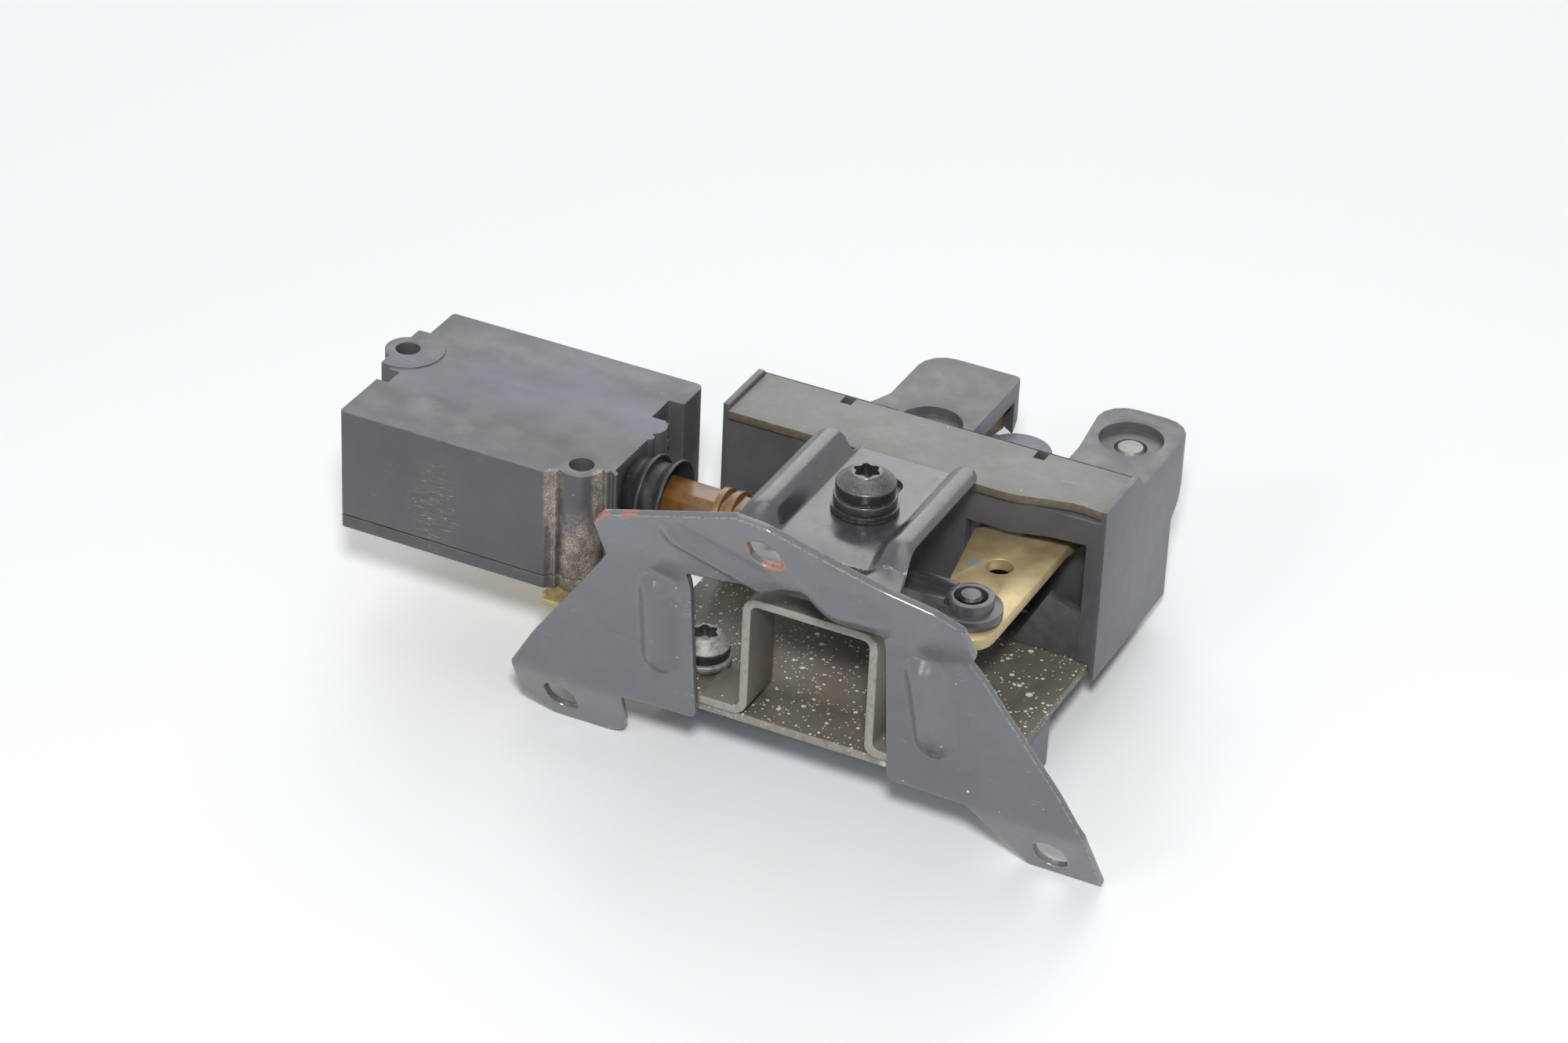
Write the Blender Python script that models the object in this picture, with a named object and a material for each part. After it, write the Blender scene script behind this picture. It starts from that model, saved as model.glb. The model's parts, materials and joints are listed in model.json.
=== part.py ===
"""Tailgate lock with release linkage, actuator and folded mounting bracket.

Metres, +Z up. X runs along the lock's width, +Y points to the striker side. The origin
is on the upper face of the top plate, in its centre plane, at its front edge line.
"""
import math

import bmesh
import bpy
from mathutils import Matrix, Vector

MM = 0.001
DEG = math.pi / 180

# Clearances
GAP = 0.3 * MM  # between pieces that lie against each other
RUNNING = 0.5 * MM  # around moving pieces
FIT = 0.3 * MM  # radial, shafts in their holes
PIN_PLAY = 0.9 * MM  # radial, link ring around the lever pin

# Round shapes
SEGMENTS = 28
SMALL_SEGMENTS = 20
ARC_STEP = 15 * DEG

# Plates
PLATE_WIDTH = 79 * MM
PLATE_THICKNESS = 1.8 * MM
TOP_PLATE_BACK = 16 * MM
TONGUE_LENGTH = 30 * MM
TONGUE_WIDTH = 18 * MM
NOTCH_WIDTH = 2.4 * MM
NOTCH_DEPTH = 2.8 * MM
NOTCH_OFFSET = 20.8 * MM

# Housing
HOUSING_HEIGHT = 31.8 * MM  # between the seats of the two plates
HOUSING_DEPTH = 36 * MM
SIDE_RIM = 1.2 * MM
TOP_RIM = 0.8 * MM
BASE_RIM = 1.5 * MM
SLOPE_RUN = 20.5 * MM
LUG_DROP = 3 * MM
LUG_BACK = 45 * MM
LUG_BACK_HEIGHT = 8 * MM
LUG_ROUNDING = 6 * MM
LEFT_LUG_WIDTH = 20.4 * MM
LUG_FLARE = 2.4 * MM
RIGHT_LUG = 16.9 * MM  # from the mouth to the edge of the plates
MOUTH_WIDTH = 19 * MM
MOUTH_WALL = 1 * MM
CAVITY_INSET = 8.4 * MM
CAVITY_DEPTH = 14 * MM
LIP_LOW = 7.2 * MM
LIP_HIGH = 5.4 * MM
WEB_HEIGHT = 12.5 * MM
WEB_THICKNESS = 2.2 * MM
HOUSING_WALL = 3 * MM
HOLLOW_HEIGHT = 13 * MM
RECESS_RADIUS = 6.5 * MM
RECESS_DEPTH = 2 * MM

# Claw
CLAW_SETBACK = 8.6 * MM  # pivot beside the mouth
CLAW_Y = 19.5 * MM
CLAW_MID_Z = -11 * MM
CLAW_THICKNESS = 4.4 * MM
CLAW_BOSS = 10 * MM
CLAW_SWING = 52 * DEG
FINGER_REACH = 17.5 * MM
FINGER_ANGLE = 20 * DEG
FINGER_RADIUS = 5.5 * MM
COVER_WALL = 1.2 * MM
COVER_ROOF = 1 * MM
HOOK_RADIUS = 23.2 * MM
HOOK_START = 72 * DEG
HOOK_END = 92 * DEG

# Release lever
LEVER_INSET = 7.6 * MM  # pivot inside the edge of the plates
LEVER_Y = 34 * MM
LEVER_THICKNESS = 2.5 * MM
LEVER_SINK = 1.3 * MM  # its lower face below the claw's
LEVER_BOSS = 7 * MM
LEVER_ARM = 61 * MM
LEVER_SETBACK = 6.6 * MM
LEVER_END_RADIUS = 5.3 * MM
LEVER_EDGE = 0.1 * MM  # straight right edge from the pivot
LEVER_HOLE = 2.7 * MM
LEVER_SPAN = 20 * MM
STROKE = 8 * MM

# Pins and springs
PIVOT_PIN = 3 * MM
PIVOT_PIN_LENGTH = 21 * MM
LEVER_PIN = 2.4 * MM
WIRE = 0.6 * MM
COIL = 5.2 * MM
COIL_TURNS = 1.75
COIL_PITCH = 1.25 * MM
SPRING_POCKET = 7 * MM
SPRING_DEPTH = 4 * MM

# Link and plunger
DISC_RADIUS = 6.3 * MM
DISC_THICKNESS = 2 * MM
RING_WALL = 1.2 * MM
RING_HEIGHT = 2.2 * MM
ARM_WIDTH = 7 * MM
ARM_THICKNESS = 2.5 * MM
ARM_RIB = 1.5 * MM
RIB_WIDTH = 1.6 * MM
AXIS_OFFSET = 3 * MM  # plunger axis behind the lever pin
PLUNGER_Z = -8 * MM
BAR_HALF = 3.8 * MM
BAR_CHAMFER = 1.3 * MM
PLUNGER_END = -20 * MM
COLLAR_RADIUS = 5.5 * MM
COLLAR_THICKNESS = 1.3 * MM
COLLAR_PITCH = 2.7 * MM
COLLAR_SETBACK = 9 * MM
TONGUE_HALF = 1.5 * MM
SOCKET_LENGTH = 6 * MM
PLUNGER_IN_CASE = 18 * MM

# Actuator
CASE_RIGHT = -48 * MM
CASE_LENGTH = 57 * MM
CASE_FRONT_GAP = 15.2 * MM  # from the plunger axis to the front wall
CASE_WIDTH = 44.6 * MM
CASE_HEIGHT = 23.4 * MM
CASE_ROUNDING = 0.8 * MM
CASE_WALL = 2 * MM
LID_THICKNESS = 2.7 * MM
EAR_OUT = 0.5 * MM
EAR_RADIUS = 4.6 * MM
EAR_HEIGHT = 12 * MM
EAR_HOLE = 2.5 * MM
EAR_BACK = 27.2 * MM  # ear axis behind the front wall
DISC_RISE = 0.3 * MM
EAR_DISC = 7.6 * MM
NOTCH_IN_CASE = 2.6 * MM
NOTCH_LENGTH = 4.6 * MM
NOTCH_DEEP = 5 * MM
HOLE_DEPTH = 6 * MM
POST_RADIUS = 4 * MM
POST_INSET = 6.6 * MM
BOSS_RADIUS = 4.6 * MM
BEAD = 0.9 * MM
BEAD_DEPTH = 4 * MM
CONNECTOR_WIDTH = 7.4 * MM
CONNECTOR_DEPTH = 3.3 * MM
CONNECTOR_HEIGHT = 15 * MM
CONNECTOR_BACK = 32.3 * MM  # connector axis behind the front wall
TAB_RADIUS = 3 * MM
TAB_REACH = 1.4 * MM

# Drive inside the actuator
MODULE = 0.6 * MM
GEAR_TEETH = 16
PINION_TEETH = 9
GEAR_WIDTH = 3 * MM
GEAR_PLAY = 0.13 * MM
GEAR_TURN = -31.6 * DEG  # direction from the spindle to the motor
MOTOR_RADIUS = 9.5 * MM
MOTOR_ROOM = 0.4 * MM
MOTOR_SHAFT = 1 * MM
SPINDLE_RADIUS = 2.2 * MM
SPINDLE_LEAD = 9 * MM
SPINDLE_REACH = 23 * MM
BEARING_THICKNESS = 3 * MM
BEARING_HALF = 5.5 * MM
TERMINAL = 1.2 * MM
TERMINAL_LENGTH = 8 * MM
TERMINALS = 3

# Boot
BOOT_LENGTH = 9 * MM
BOOT_RADIUS = 8 * MM
BOOT_GROOVE = 1.5 * MM
BOOT_LIP = 0.8 * MM

# Mounting bracket
SHEET = 1.5 * MM
BEAM_LEAN = 31 * DEG
LEG_FOLD_Y = -54 * MM
LEG_FOLD_Z = -5 * MM
LEG_LENGTH = 32.5 * MM
LEG_SLANT = 4 * MM
FOOT_DROP = 16.2 * MM
BEAM_RISE = 30 * MM
FOLD_RADIUS = 1.6 * MM
NECK = 37.4 * MM
NECK_RISE = 2 * MM
SHOULDER = 39.3 * MM
SHOULDER_RISE = 12.6 * MM
TIP_RISE = 16.8 * MM
PEAK_X = -3 * MM
LEG_GAP = 20.2 * MM
EDGE_RISE = 4 * MM  # lower edge of the beam above the fold, beside the legs
ARCH_RISE = 6.5 * MM  # crest of that edge above its ends
KNEE = 55.4 * MM
KNEE_DROP = 23.8 * MM
FOOT_TOP = 60.5 * MM
FOOT_OUT = 61.5 * MM
FOOT_NOTCH = 36.6 * MM
FOOT_IN = 46 * MM
LEFT_FOOT_IN = 39.4 * MM
SLOT_WIDTH = 6.6 * MM
SLOT_LENGTH = 9.5 * MM
BEAM_SLOT = (0.5 * MM, 14.9 * MM)
LEFT_SLOT_X = -51.9 * MM
LEFT_SLOT_DROP = 8.3 * MM  # below the fold of the feet
RIGHT_SLOT_X = 52 * MM
RIGHT_SLOT_DROP = 9.9 * MM
RIB_SINK = 0.2 * MM
LEG_RIB = 4.5 * MM
LEG_RIB_HEIGHT = 2.4 * MM
BEAM_RIB = 3 * MM
BEAM_RIB_HEIGHT = 1.9 * MM

# Channel
CHANNEL_FLOOR = 9 * MM
CHANNEL_SHEET = 1.5 * MM
CHANNEL_BACK = -3 * MM
CHANNEL_SLOT = 18 * MM
LIP_CREST = 5.6 * MM
LIP_REACH = 18.4 * MM
LIP_START = 3 * MM

# Hat
HAT_SHEET = 1.8 * MM
HAT_BEND = 3.2 * MM
HAT_TOP = -7 * MM
HAT_LEFT = -11.5 * MM
HAT_WIDTH = 28.2 * MM
HAT_DEPTH = 11 * MM

# Screws
CHANNEL_SCREW = (0.5 * MM, -22.5 * MM)
CHANNEL_SHAFT = 3 * MM
FLANGE_RADIUS = 6.15 * MM
FLANGE_THICKNESS = 1.7 * MM
HEAD_RADIUS = 5.9 * MM
HEAD_HEIGHT = 4.9 * MM
HEAD_DOME = 0.9 * MM
SOCKET_RADIUS = 2.9 * MM
SOCKET_DEPTH = 2.6 * MM
WASHER_RADIUS = 6.6 * MM
WASHER_THICKNESS = 1 * MM
NUT_RADIUS = 5.6 * MM
NUT_HEIGHT = 4.6 * MM
PLATE_SCREW_INSET = 14 * MM
PLATE_SCREW_Y = -36 * MM
PLATE_FLANGE = 5.3 * MM
PLATE_SHAFT = 2.5 * MM
PLATE_SHAFT_LENGTH = 7 * MM
CASE_SHAFT = 1.5 * MM
CASE_SHAFT_LENGTH = 13 * MM
CASE_HEAD = 3.2 * MM
CASE_HEAD_HEIGHT = 1.8 * MM

# Carrier
CARRIER_SHEET = 1.5 * MM
CARRIER_INSET = 2 * MM
CARRIER_WIDTH = 39 * MM
CARRIER_SETBACK = 4.2 * MM  # its front edge behind the actuator's front
STRAP_WIDTH = 16 * MM
STRAP_RIGHT = -20 * MM
STRAP_BEND = -46.5 * MM
STRAP_RUN = 3.5 * MM
CARRIER_TAB = 5.4 * MM
CARRIER_TAB_WIDTH = 9 * MM

# Lower cover
COVER_WIDTH = 76 * MM
COVER_TAIL_WIDTH = 52 * MM
COVER_FRONT = -44 * MM
COVER_STEP = -12 * MM
COVER_BACK = 12 * MM
COVER_NOSE = 2.2 * MM
COVER_CHIN = -28 * MM
COVER_CHIN_DROP = 13.3 * MM
COVER_MIDDLE = -18 * MM
COVER_MID_DROP = 13.9 * MM
COVER_BACK_DROP = 9.9 * MM
COVER_SHELL = 2 * MM
COVER_BOSS = 5.5 * MM

# Heights that follow from the sizes above
HALF_PLATE = PLATE_WIDTH / 2
HALF_HOUSING = HALF_PLATE + GAP + SIDE_RIM
TOP_SEAT = -PLATE_THICKNESS - GAP
BASE_SEAT = TOP_SEAT - HOUSING_HEIGHT
PLATE_SCREW_X = HALF_PLATE - PLATE_SCREW_INSET
HAT_FOOT_LEFT = -PLATE_SCREW_X + PLATE_FLANGE + GAP
HAT_FOOT_RIGHT = PLATE_SCREW_X - PLATE_FLANGE - GAP
MOUTH_RIGHT = HALF_PLATE - RIGHT_LUG
MOUTH_LEFT = MOUTH_RIGHT - MOUTH_WIDTH
CAVITY_LEFT = MOUTH_LEFT + CAVITY_INSET
CLAW_PIVOT = Vector((MOUTH_LEFT - CLAW_SETBACK, CLAW_Y))
LEVER_PIVOT = Vector((HALF_PLATE - LEVER_INSET, LEVER_Y))
BASE_TOP = BASE_SEAT - GAP
BASE_BOTTOM = BASE_TOP - PLATE_THICKNESS
COVER_TOP = BASE_BOTTOM - GAP
MOUTH_FRONT = TOP_PLATE_BACK + GAP + MOUTH_WALL
COVER_RADIUS = FINGER_RADIUS + FIT + COVER_WALL
CLAW_RIM = FINGER_REACH + COVER_RADIUS
CLAW_LOW = CLAW_MID_Z - CLAW_THICKNESS / 2
CLAW_HIGH = CLAW_MID_Z + CLAW_THICKNESS / 2
COVER_HALF = CLAW_THICKNESS / 2 + FIT + COVER_ROOF
POCKET_LOW = CLAW_MID_Z - COVER_HALF - RUNNING
POCKET_HIGH = CLAW_MID_Z + COVER_HALF + RUNNING
LEVER_LOW = CLAW_LOW - LEVER_SINK
LEVER_HIGH = LEVER_LOW + LEVER_THICKNESS
LEVER_SWING = STROKE / LEVER_ARM
LINK_LOW = LEVER_HIGH + GAP
PIN_X = LEVER_PIVOT.x - LEVER_SETBACK
PIN_Y = LEVER_PIVOT.y - LEVER_ARM
PLUNGER_Y = PIN_Y + AXIS_OFFSET
CASE_FRONT = PLUNGER_Y - CASE_FRONT_GAP
CASE_BACK = CASE_FRONT + CASE_WIDTH
CASE_LEFT = CASE_RIGHT - CASE_LENGTH
LID_LOW = -CASE_HEIGHT - GAP - LID_THICKNESS
CENTRE_DISTANCE = MODULE * (GEAR_TEETH + PINION_TEETH) / 2 + GEAR_PLAY
MOTOR_Y = PLUNGER_Y + CENTRE_DISTANCE * math.cos(GEAR_TURN)
MOTOR_Z = PLUNGER_Z + CENTRE_DISTANCE * math.sin(GEAR_TURN)
GEAR_RIGHT = CASE_RIGHT - SPINDLE_REACH
GEAR_LEFT = GEAR_RIGHT - GEAR_WIDTH
MOTOR_RIGHT = GEAR_LEFT - 2 * MM
MOTOR_LEFT = CASE_LEFT + NOTCH_IN_CASE + CASE_WALL + MOTOR_ROOM
MOTOR_LENGTH = MOTOR_RIGHT - MOTOR_LEFT
CHANNEL_TOP = GAP + CHANNEL_SHEET
RECESS_Z = -LUG_DROP - RECESS_DEPTH
COVER_BOTTOM = COVER_TOP - COVER_MID_DROP
SHEET_RUN = SHEET / math.cos(BEAM_LEAN)


def clear_scene():
    """Remove every object of the scene."""
    for thing in list(bpy.data.objects):
        bpy.data.objects.remove(thing)


def material(name, colour, roughness, metallic=0.0):
    """Principled material of one piece."""
    made = bpy.data.materials.new(name)
    made.use_nodes = True
    shader = made.node_tree.nodes["Principled BSDF"]
    shader.inputs["Base Color"].default_value = (*colour, 1)
    shader.inputs["Roughness"].default_value = roughness
    shader.inputs["Metallic"].default_value = metallic
    return made


def solid(mesh):
    """Object from a bmesh, with outward faces."""
    bmesh.ops.recalc_face_normals(mesh, faces=mesh.faces)
    data = bpy.data.meshes.new("work")
    mesh.to_mesh(data)
    mesh.free()
    made = bpy.data.objects.new("work", data)
    bpy.context.collection.objects.link(made)
    return made


def bake(body):
    """Put the result of the modifiers into the mesh."""
    bpy.context.view_layer.update()
    graph = bpy.context.evaluated_depsgraph_get()
    mesh = bpy.data.meshes.new_from_object(body.evaluated_get(graph))
    body.modifiers.clear()
    body.data = mesh


def combine(body, tools, operation):
    """Apply one Boolean after the other and remove the tools."""
    for tool in tools:
        step = body.modifiers.new("step", "BOOLEAN")
        step.operation = operation
        step.solver = "EXACT"
        step.object = tool
        bake(body)
        bpy.data.objects.remove(tool)
    return body


def cut(body, *tools):
    return combine(body, tools, "DIFFERENCE")


def join(body, *tools):
    return combine(body, tools, "UNION")


def keep(body, *tools):
    return combine(body, tools, "INTERSECT")


def piece(name, body, finish, origin=(0, 0, 0)):
    """Name the solid, give it its material and put its origin on the given point."""
    body.name = name
    body.data.name = name
    body.data.materials.clear()
    body.data.materials.append(finish)
    body.data.shade_smooth()
    body.data.set_sharp_from_angle(angle=32 * DEG)
    point = Vector(origin)
    body.data.transform(Matrix.Translation(-point))
    body.location = point
    return body


def polar(centre, radius, angle):
    return (centre[0] + radius * math.cos(angle), centre[1] + radius * math.sin(angle))


def arc(centre, radius, start, end, step=ARC_STEP):
    """Points of an arc from one angle to the other."""
    count = max(1, math.ceil(abs(end - start) / step - 1e-6))
    return [polar(centre, radius, start + (end - start) * k / count) for k in range(count + 1)]


def circle(centre, radius, segments=SEGMENTS):
    return [polar(centre, radius, 2 * math.pi * k / segments) for k in range(segments)]


def capsule(start, end, radius):
    """Outline of a bar with round ends."""
    angle = math.atan2(end[1] - start[1], end[0] - start[0])
    quarter = math.pi / 2
    return arc(start, radius, angle + quarter, angle + 3 * quarter) + arc(
        end, radius, angle - quarter, angle + quarter
    )


def rectangle(left, right, low, high, radius=0.0):
    corners = ((left, low), (right, low), (right, high), (left, high))
    return rounded([(*corner, radius) for corner in corners])


def rounded(points):
    """Outline with rounded corners: a point is (u, v) or (u, v, radius)."""
    out = []
    for index, point in enumerate(points):
        here = Vector(point[:2])
        radius = point[2] if len(point) > 2 else 0.0
        if radius <= 0:
            out.append(tuple(here))
            continue
        before = Vector(points[index - 1][:2]) - here
        after = Vector(points[(index + 1) % len(points)][:2]) - here
        half = before.angle(after) / 2
        limit = 0.45 * min(before.length, after.length)
        reach = min(radius / math.tan(half), limit)
        radius = reach * math.tan(half)
        bisector = (before.normalized() + after.normalized()).normalized()
        centre = here + bisector * radius / math.sin(half)
        first = here + before.normalized() * reach - centre
        last = here + after.normalized() * reach - centre
        start = math.atan2(first.y, first.x)
        turn = math.atan2(first.x * last.y - first.y * last.x, first.dot(last))
        out += arc(centre, radius, start, start + turn, 22.5 * DEG)
    return out


def ribbon(points, thickness):
    """Outline of a sheet section around its middle line."""
    line = [Vector(point) for point in points]
    sides = ([], [])
    for index, here in enumerate(line):
        before = (here - line[max(index - 1, 0)]).normalized()
        after = (line[min(index + 1, len(line) - 1)] - here).normalized()
        mean = (before + after).normalized()
        normal = Vector((-mean.y, mean.x))
        edge = after if after.length else before
        reach = thickness / 2 / max(0.5, abs(mean.dot(edge)))
        sides[0].append(tuple(here + normal * reach))
        sides[1].append(tuple(here - normal * reach))
    return sides[0] + sides[1][::-1]


def bent(points, thickness, radius):
    """Outline of a sheet section whose bends have the given outer radius."""
    outline = ribbon(points, thickness)
    count = len(points)
    out = []
    for index, point in enumerate(outline):
        place = min(index, 2 * count - 1 - index)
        if place in (0, count - 1):
            out.append(point)
            continue
        before, here, after = (Vector(points[place + k]) for k in (-1, 0, 1))
        left_turn = (here - before).cross(after - here) > 0
        inside = left_turn == (index < count)
        out.append((*point, radius - thickness if inside else radius))
    return rounded(out)


def places(axis):
    """Indices of the two directions across an axis, and of the axis itself."""
    return {"X": (1, 2, 0), "Y": (0, 2, 1), "Z": (0, 1, 2)}[axis]


def prism(outline, axis, low, high):
    """Solid from an outline across the axis; the outline is (y, z), (x, z) or (x, y)."""
    first, second, along = places(axis)
    mesh = bmesh.new()

    def ring(height):
        made = []
        for point in outline:
            place = [0.0, 0.0, 0.0]
            place[first], place[second], place[along] = point[0], point[1], height
            made.append(mesh.verts.new(place))
        return made

    lower, upper = ring(low), ring(high)
    mesh.faces.new(lower)
    mesh.faces.new(upper)
    for index in range(len(outline)):
        mesh.faces.new((lower[index - 1], lower[index], upper[index], upper[index - 1]))
    return solid(mesh)


def block(left, right, front, back, low, high):
    return prism(rectangle(left, right, front, back), "Z", low, high)


def cylinder(centre, radius, axis, low, high, segments=SEGMENTS):
    return prism(circle(centre, radius, segments), axis, low, high)


def lathe(profile, axis, centre, segments=SEGMENTS):
    """Solid of revolution from (radius, height) pairs, a ring or from axis to axis."""
    first, second, along = places(axis)
    mesh = bmesh.new()
    rings = []
    for radius, height in profile:
        count = segments if radius > 0 else 1
        ring = []
        for k in range(count):
            place = [0.0, 0.0, 0.0]
            place[first], place[second] = polar(centre, radius, 2 * math.pi * k / segments)
            place[along] = height
            ring.append(mesh.verts.new(place))
        rings.append(ring)
    closed = profile[0][0] > 0
    for index in range(0 if closed else 1, len(rings)):
        one, two = rings[index - 1], rings[index]
        for k in range(segments):
            n = (k + 1) % segments
            corners = [one[k % len(one)], one[n % len(one)], two[n % len(two)], two[k % len(two)]]
            mesh.faces.new(list(dict.fromkeys(corners)))
    return solid(mesh)


def screw_socket(centre, top):
    """Six-lobed recess for the driver."""
    points = []
    for k in range(12):
        radius = SOCKET_RADIUS if k % 2 == 0 else 0.78 * SOCKET_RADIUS
        points.append((*polar(centre, radius, k * 30 * DEG), 0.5 * MM))
    return prism(rounded(points), "Z", top - SOCKET_DEPTH, top + SOCKET_DEPTH)


def flanged_screw(centre, low, shaft, length, wide=FLANGE_RADIUS):
    """Flange screw with its head above the given height and its shaft below it."""
    head = wide - FLANGE_RADIUS + HEAD_RADIUS
    flange = low + FLANGE_THICKNESS
    top = flange + HEAD_HEIGHT
    rim = 0.5 * MM
    profile = (
        (0, low - length),
        (shaft - rim, low - length),
        (shaft, low - length + rim),
        (shaft, low),
        (wide, low),
        (wide, flange - rim / 2),
        (wide - rim / 2, flange),
        (head - rim, flange),
        (head - rim, flange + rim / 2),
        (head, flange + 1.5 * rim),
        (head, top - HEAD_DOME - rim),
        (head - 0.6 * rim, top - HEAD_DOME + 0.4 * rim),
        (head - 3.4 * rim, top - 0.3 * rim),
        (SOCKET_RADIUS, top),
        (0, top),
    )
    return cut(lathe(profile, "Z", centre, 24), screw_socket(centre, top))


def leg_y(z):
    """Front face of the legs."""
    return LEG_FOLD_Y + (LEG_FOLD_Z - z) * LEG_SLANT / LEG_LENGTH


def beam_y(z):
    """Front face of the beam."""
    return LEG_FOLD_Y - (z - LEG_FOLD_Z) * math.tan(BEAM_LEAN)


def foot_y(z):
    """Front face of the feet."""
    return leg_y(LEG_FOLD_Z - LEG_LENGTH) - (z - LEG_FOLD_Z + LEG_LENGTH) * math.tan(BEAM_LEAN)


def bracket_y(z):
    """Front face of the whole bracket, with flattened folds."""
    for fold, above, below in ((LEG_FOLD_Z, beam_y, leg_y), (LEG_FOLD_Z - LEG_LENGTH, leg_y, foot_y)):
        off = abs(z - fold) / FOLD_RADIUS
        if off < 1:
            side = (above if z > fold else below)(fold + math.copysign(FOLD_RADIUS, z - fold))
            middle = (2 * leg_y(fold) + above(fold + FOLD_RADIUS) + below(fold - FOLD_RADIUS)) / 4
            return middle + off * (side - middle)
    if z > LEG_FOLD_Z:
        return beam_y(z)
    return leg_y(z) if z > LEG_FOLD_Z - LEG_LENGTH else foot_y(z)


BASE_FRONT = leg_y(BASE_BOTTOM) + SHEET * 1.02 + GAP


def top_plate():
    half, tongue = HALF_PLATE, TONGUE_WIDTH / 2
    front = -1 * MM
    points = [(half, TOP_PLATE_BACK)]
    for x in (NOTCH_OFFSET, -NOTCH_OFFSET):
        right, left = x + NOTCH_WIDTH / 2, x - NOTCH_WIDTH / 2
        deep = TOP_PLATE_BACK - NOTCH_DEPTH
        points += [(right, TOP_PLATE_BACK), (right, deep), (left, deep), (left, TOP_PLATE_BACK)]
    points += [
        (-half, TOP_PLATE_BACK),
        (-half, front),
        (-tongue, front, 2 * MM),
        (-tongue, -TONGUE_LENGTH, 4 * MM),
        (tongue, -TONGUE_LENGTH, 4 * MM),
        (tongue, 1.4 * front, 2 * MM),
        (0.55 * half, 1.4 * front, 8 * MM),
        (0.74 * half, -0.6 * front, 6 * MM),
        (0.87 * half, -1.7 * front, 6 * MM),
        (half, -1.1 * front),
    ]
    body = prism(rounded(points), "Z", -PLATE_THICKNESS, 0)
    hole = CHANNEL_SHAFT + FIT
    return cut(body, cylinder(CHANNEL_SCREW, hole, "Z", -3 * PLATE_THICKNESS, PLATE_THICKNESS))


def bottom_plate():
    half = HALF_PLATE
    body = block(-half, half, BASE_FRONT, TOP_PLATE_BACK, BASE_BOTTOM, BASE_TOP)
    low, high = BASE_BOTTOM - PLATE_THICKNESS, BASE_TOP + PLATE_THICKNESS
    hole = PLATE_SHAFT + FIT
    for x in (-PLATE_SCREW_X, PLATE_SCREW_X):
        cut(body, cylinder((x, PLATE_SCREW_Y), hole, "Z", low, high, SMALL_SEGMENTS))
    return body


def lug(left, right, flare):
    """One lug of the housing, with a sloping underside."""
    high = -LUG_DROP
    low = high - LUG_BACK_HEIGHT
    reach = LUG_BACK - HOUSING_DEPTH
    inside = TOP_PLATE_BACK - 2 * MM
    bottom = low - reach - 4 * MM
    corner = 1.5 * MM
    points = [
        (left - flare, inside),
        (right, inside),
        (right, LUG_BACK, LUG_ROUNDING if right > MOUTH_RIGHT else corner),
        (left, LUG_BACK, LUG_ROUNDING),
        (left, inside + 12 * MM, corner),
        (left - flare, inside + 6 * MM, corner),
    ]
    body = prism(rounded(points), "Z", bottom, high)
    over = 2 * MM
    fall = low + over - (bottom - over)
    under = (
        (LUG_BACK + over, low + over),
        (LUG_BACK + over, bottom - over),
        (LUG_BACK + over - fall, bottom - over),
    )
    return cut(body, prism(under, "X", left - 5 * over, right + 5 * over))


def claw_pocket():
    """Room for the whole swing of the claw."""
    closed = FINGER_ANGLE - CLAW_SWING
    width = COVER_RADIUS + RUNNING
    boss = CLAW_BOSS + RUNNING
    middle = polar(CLAW_PIVOT, FINGER_REACH, closed)
    meet = math.asin(width / boss)
    end = HOOK_END + 14 * DEG
    points = arc(CLAW_PIVOT, HOOK_RADIUS + RUNNING, end, FINGER_ANGLE, 8 * DEG)
    points += arc(CLAW_PIVOT, CLAW_RIM + RUNNING, FINGER_ANGLE, closed, 8 * DEG)
    points += arc(middle, width, closed, closed - math.pi / 2)[1:]
    points += arc(CLAW_PIVOT, boss, closed - meet, end - 2 * math.pi)
    return prism(points, "Z", POCKET_LOW, POCKET_HIGH)


def cavity_right():
    """Right side of the front opening, clear of the swinging lever."""
    edge = LEVER_PIVOT.x - LEVER_EDGE
    return edge + LEVER_PIVOT.y * math.sin(LEVER_SWING) + 2 * RUNNING


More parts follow.
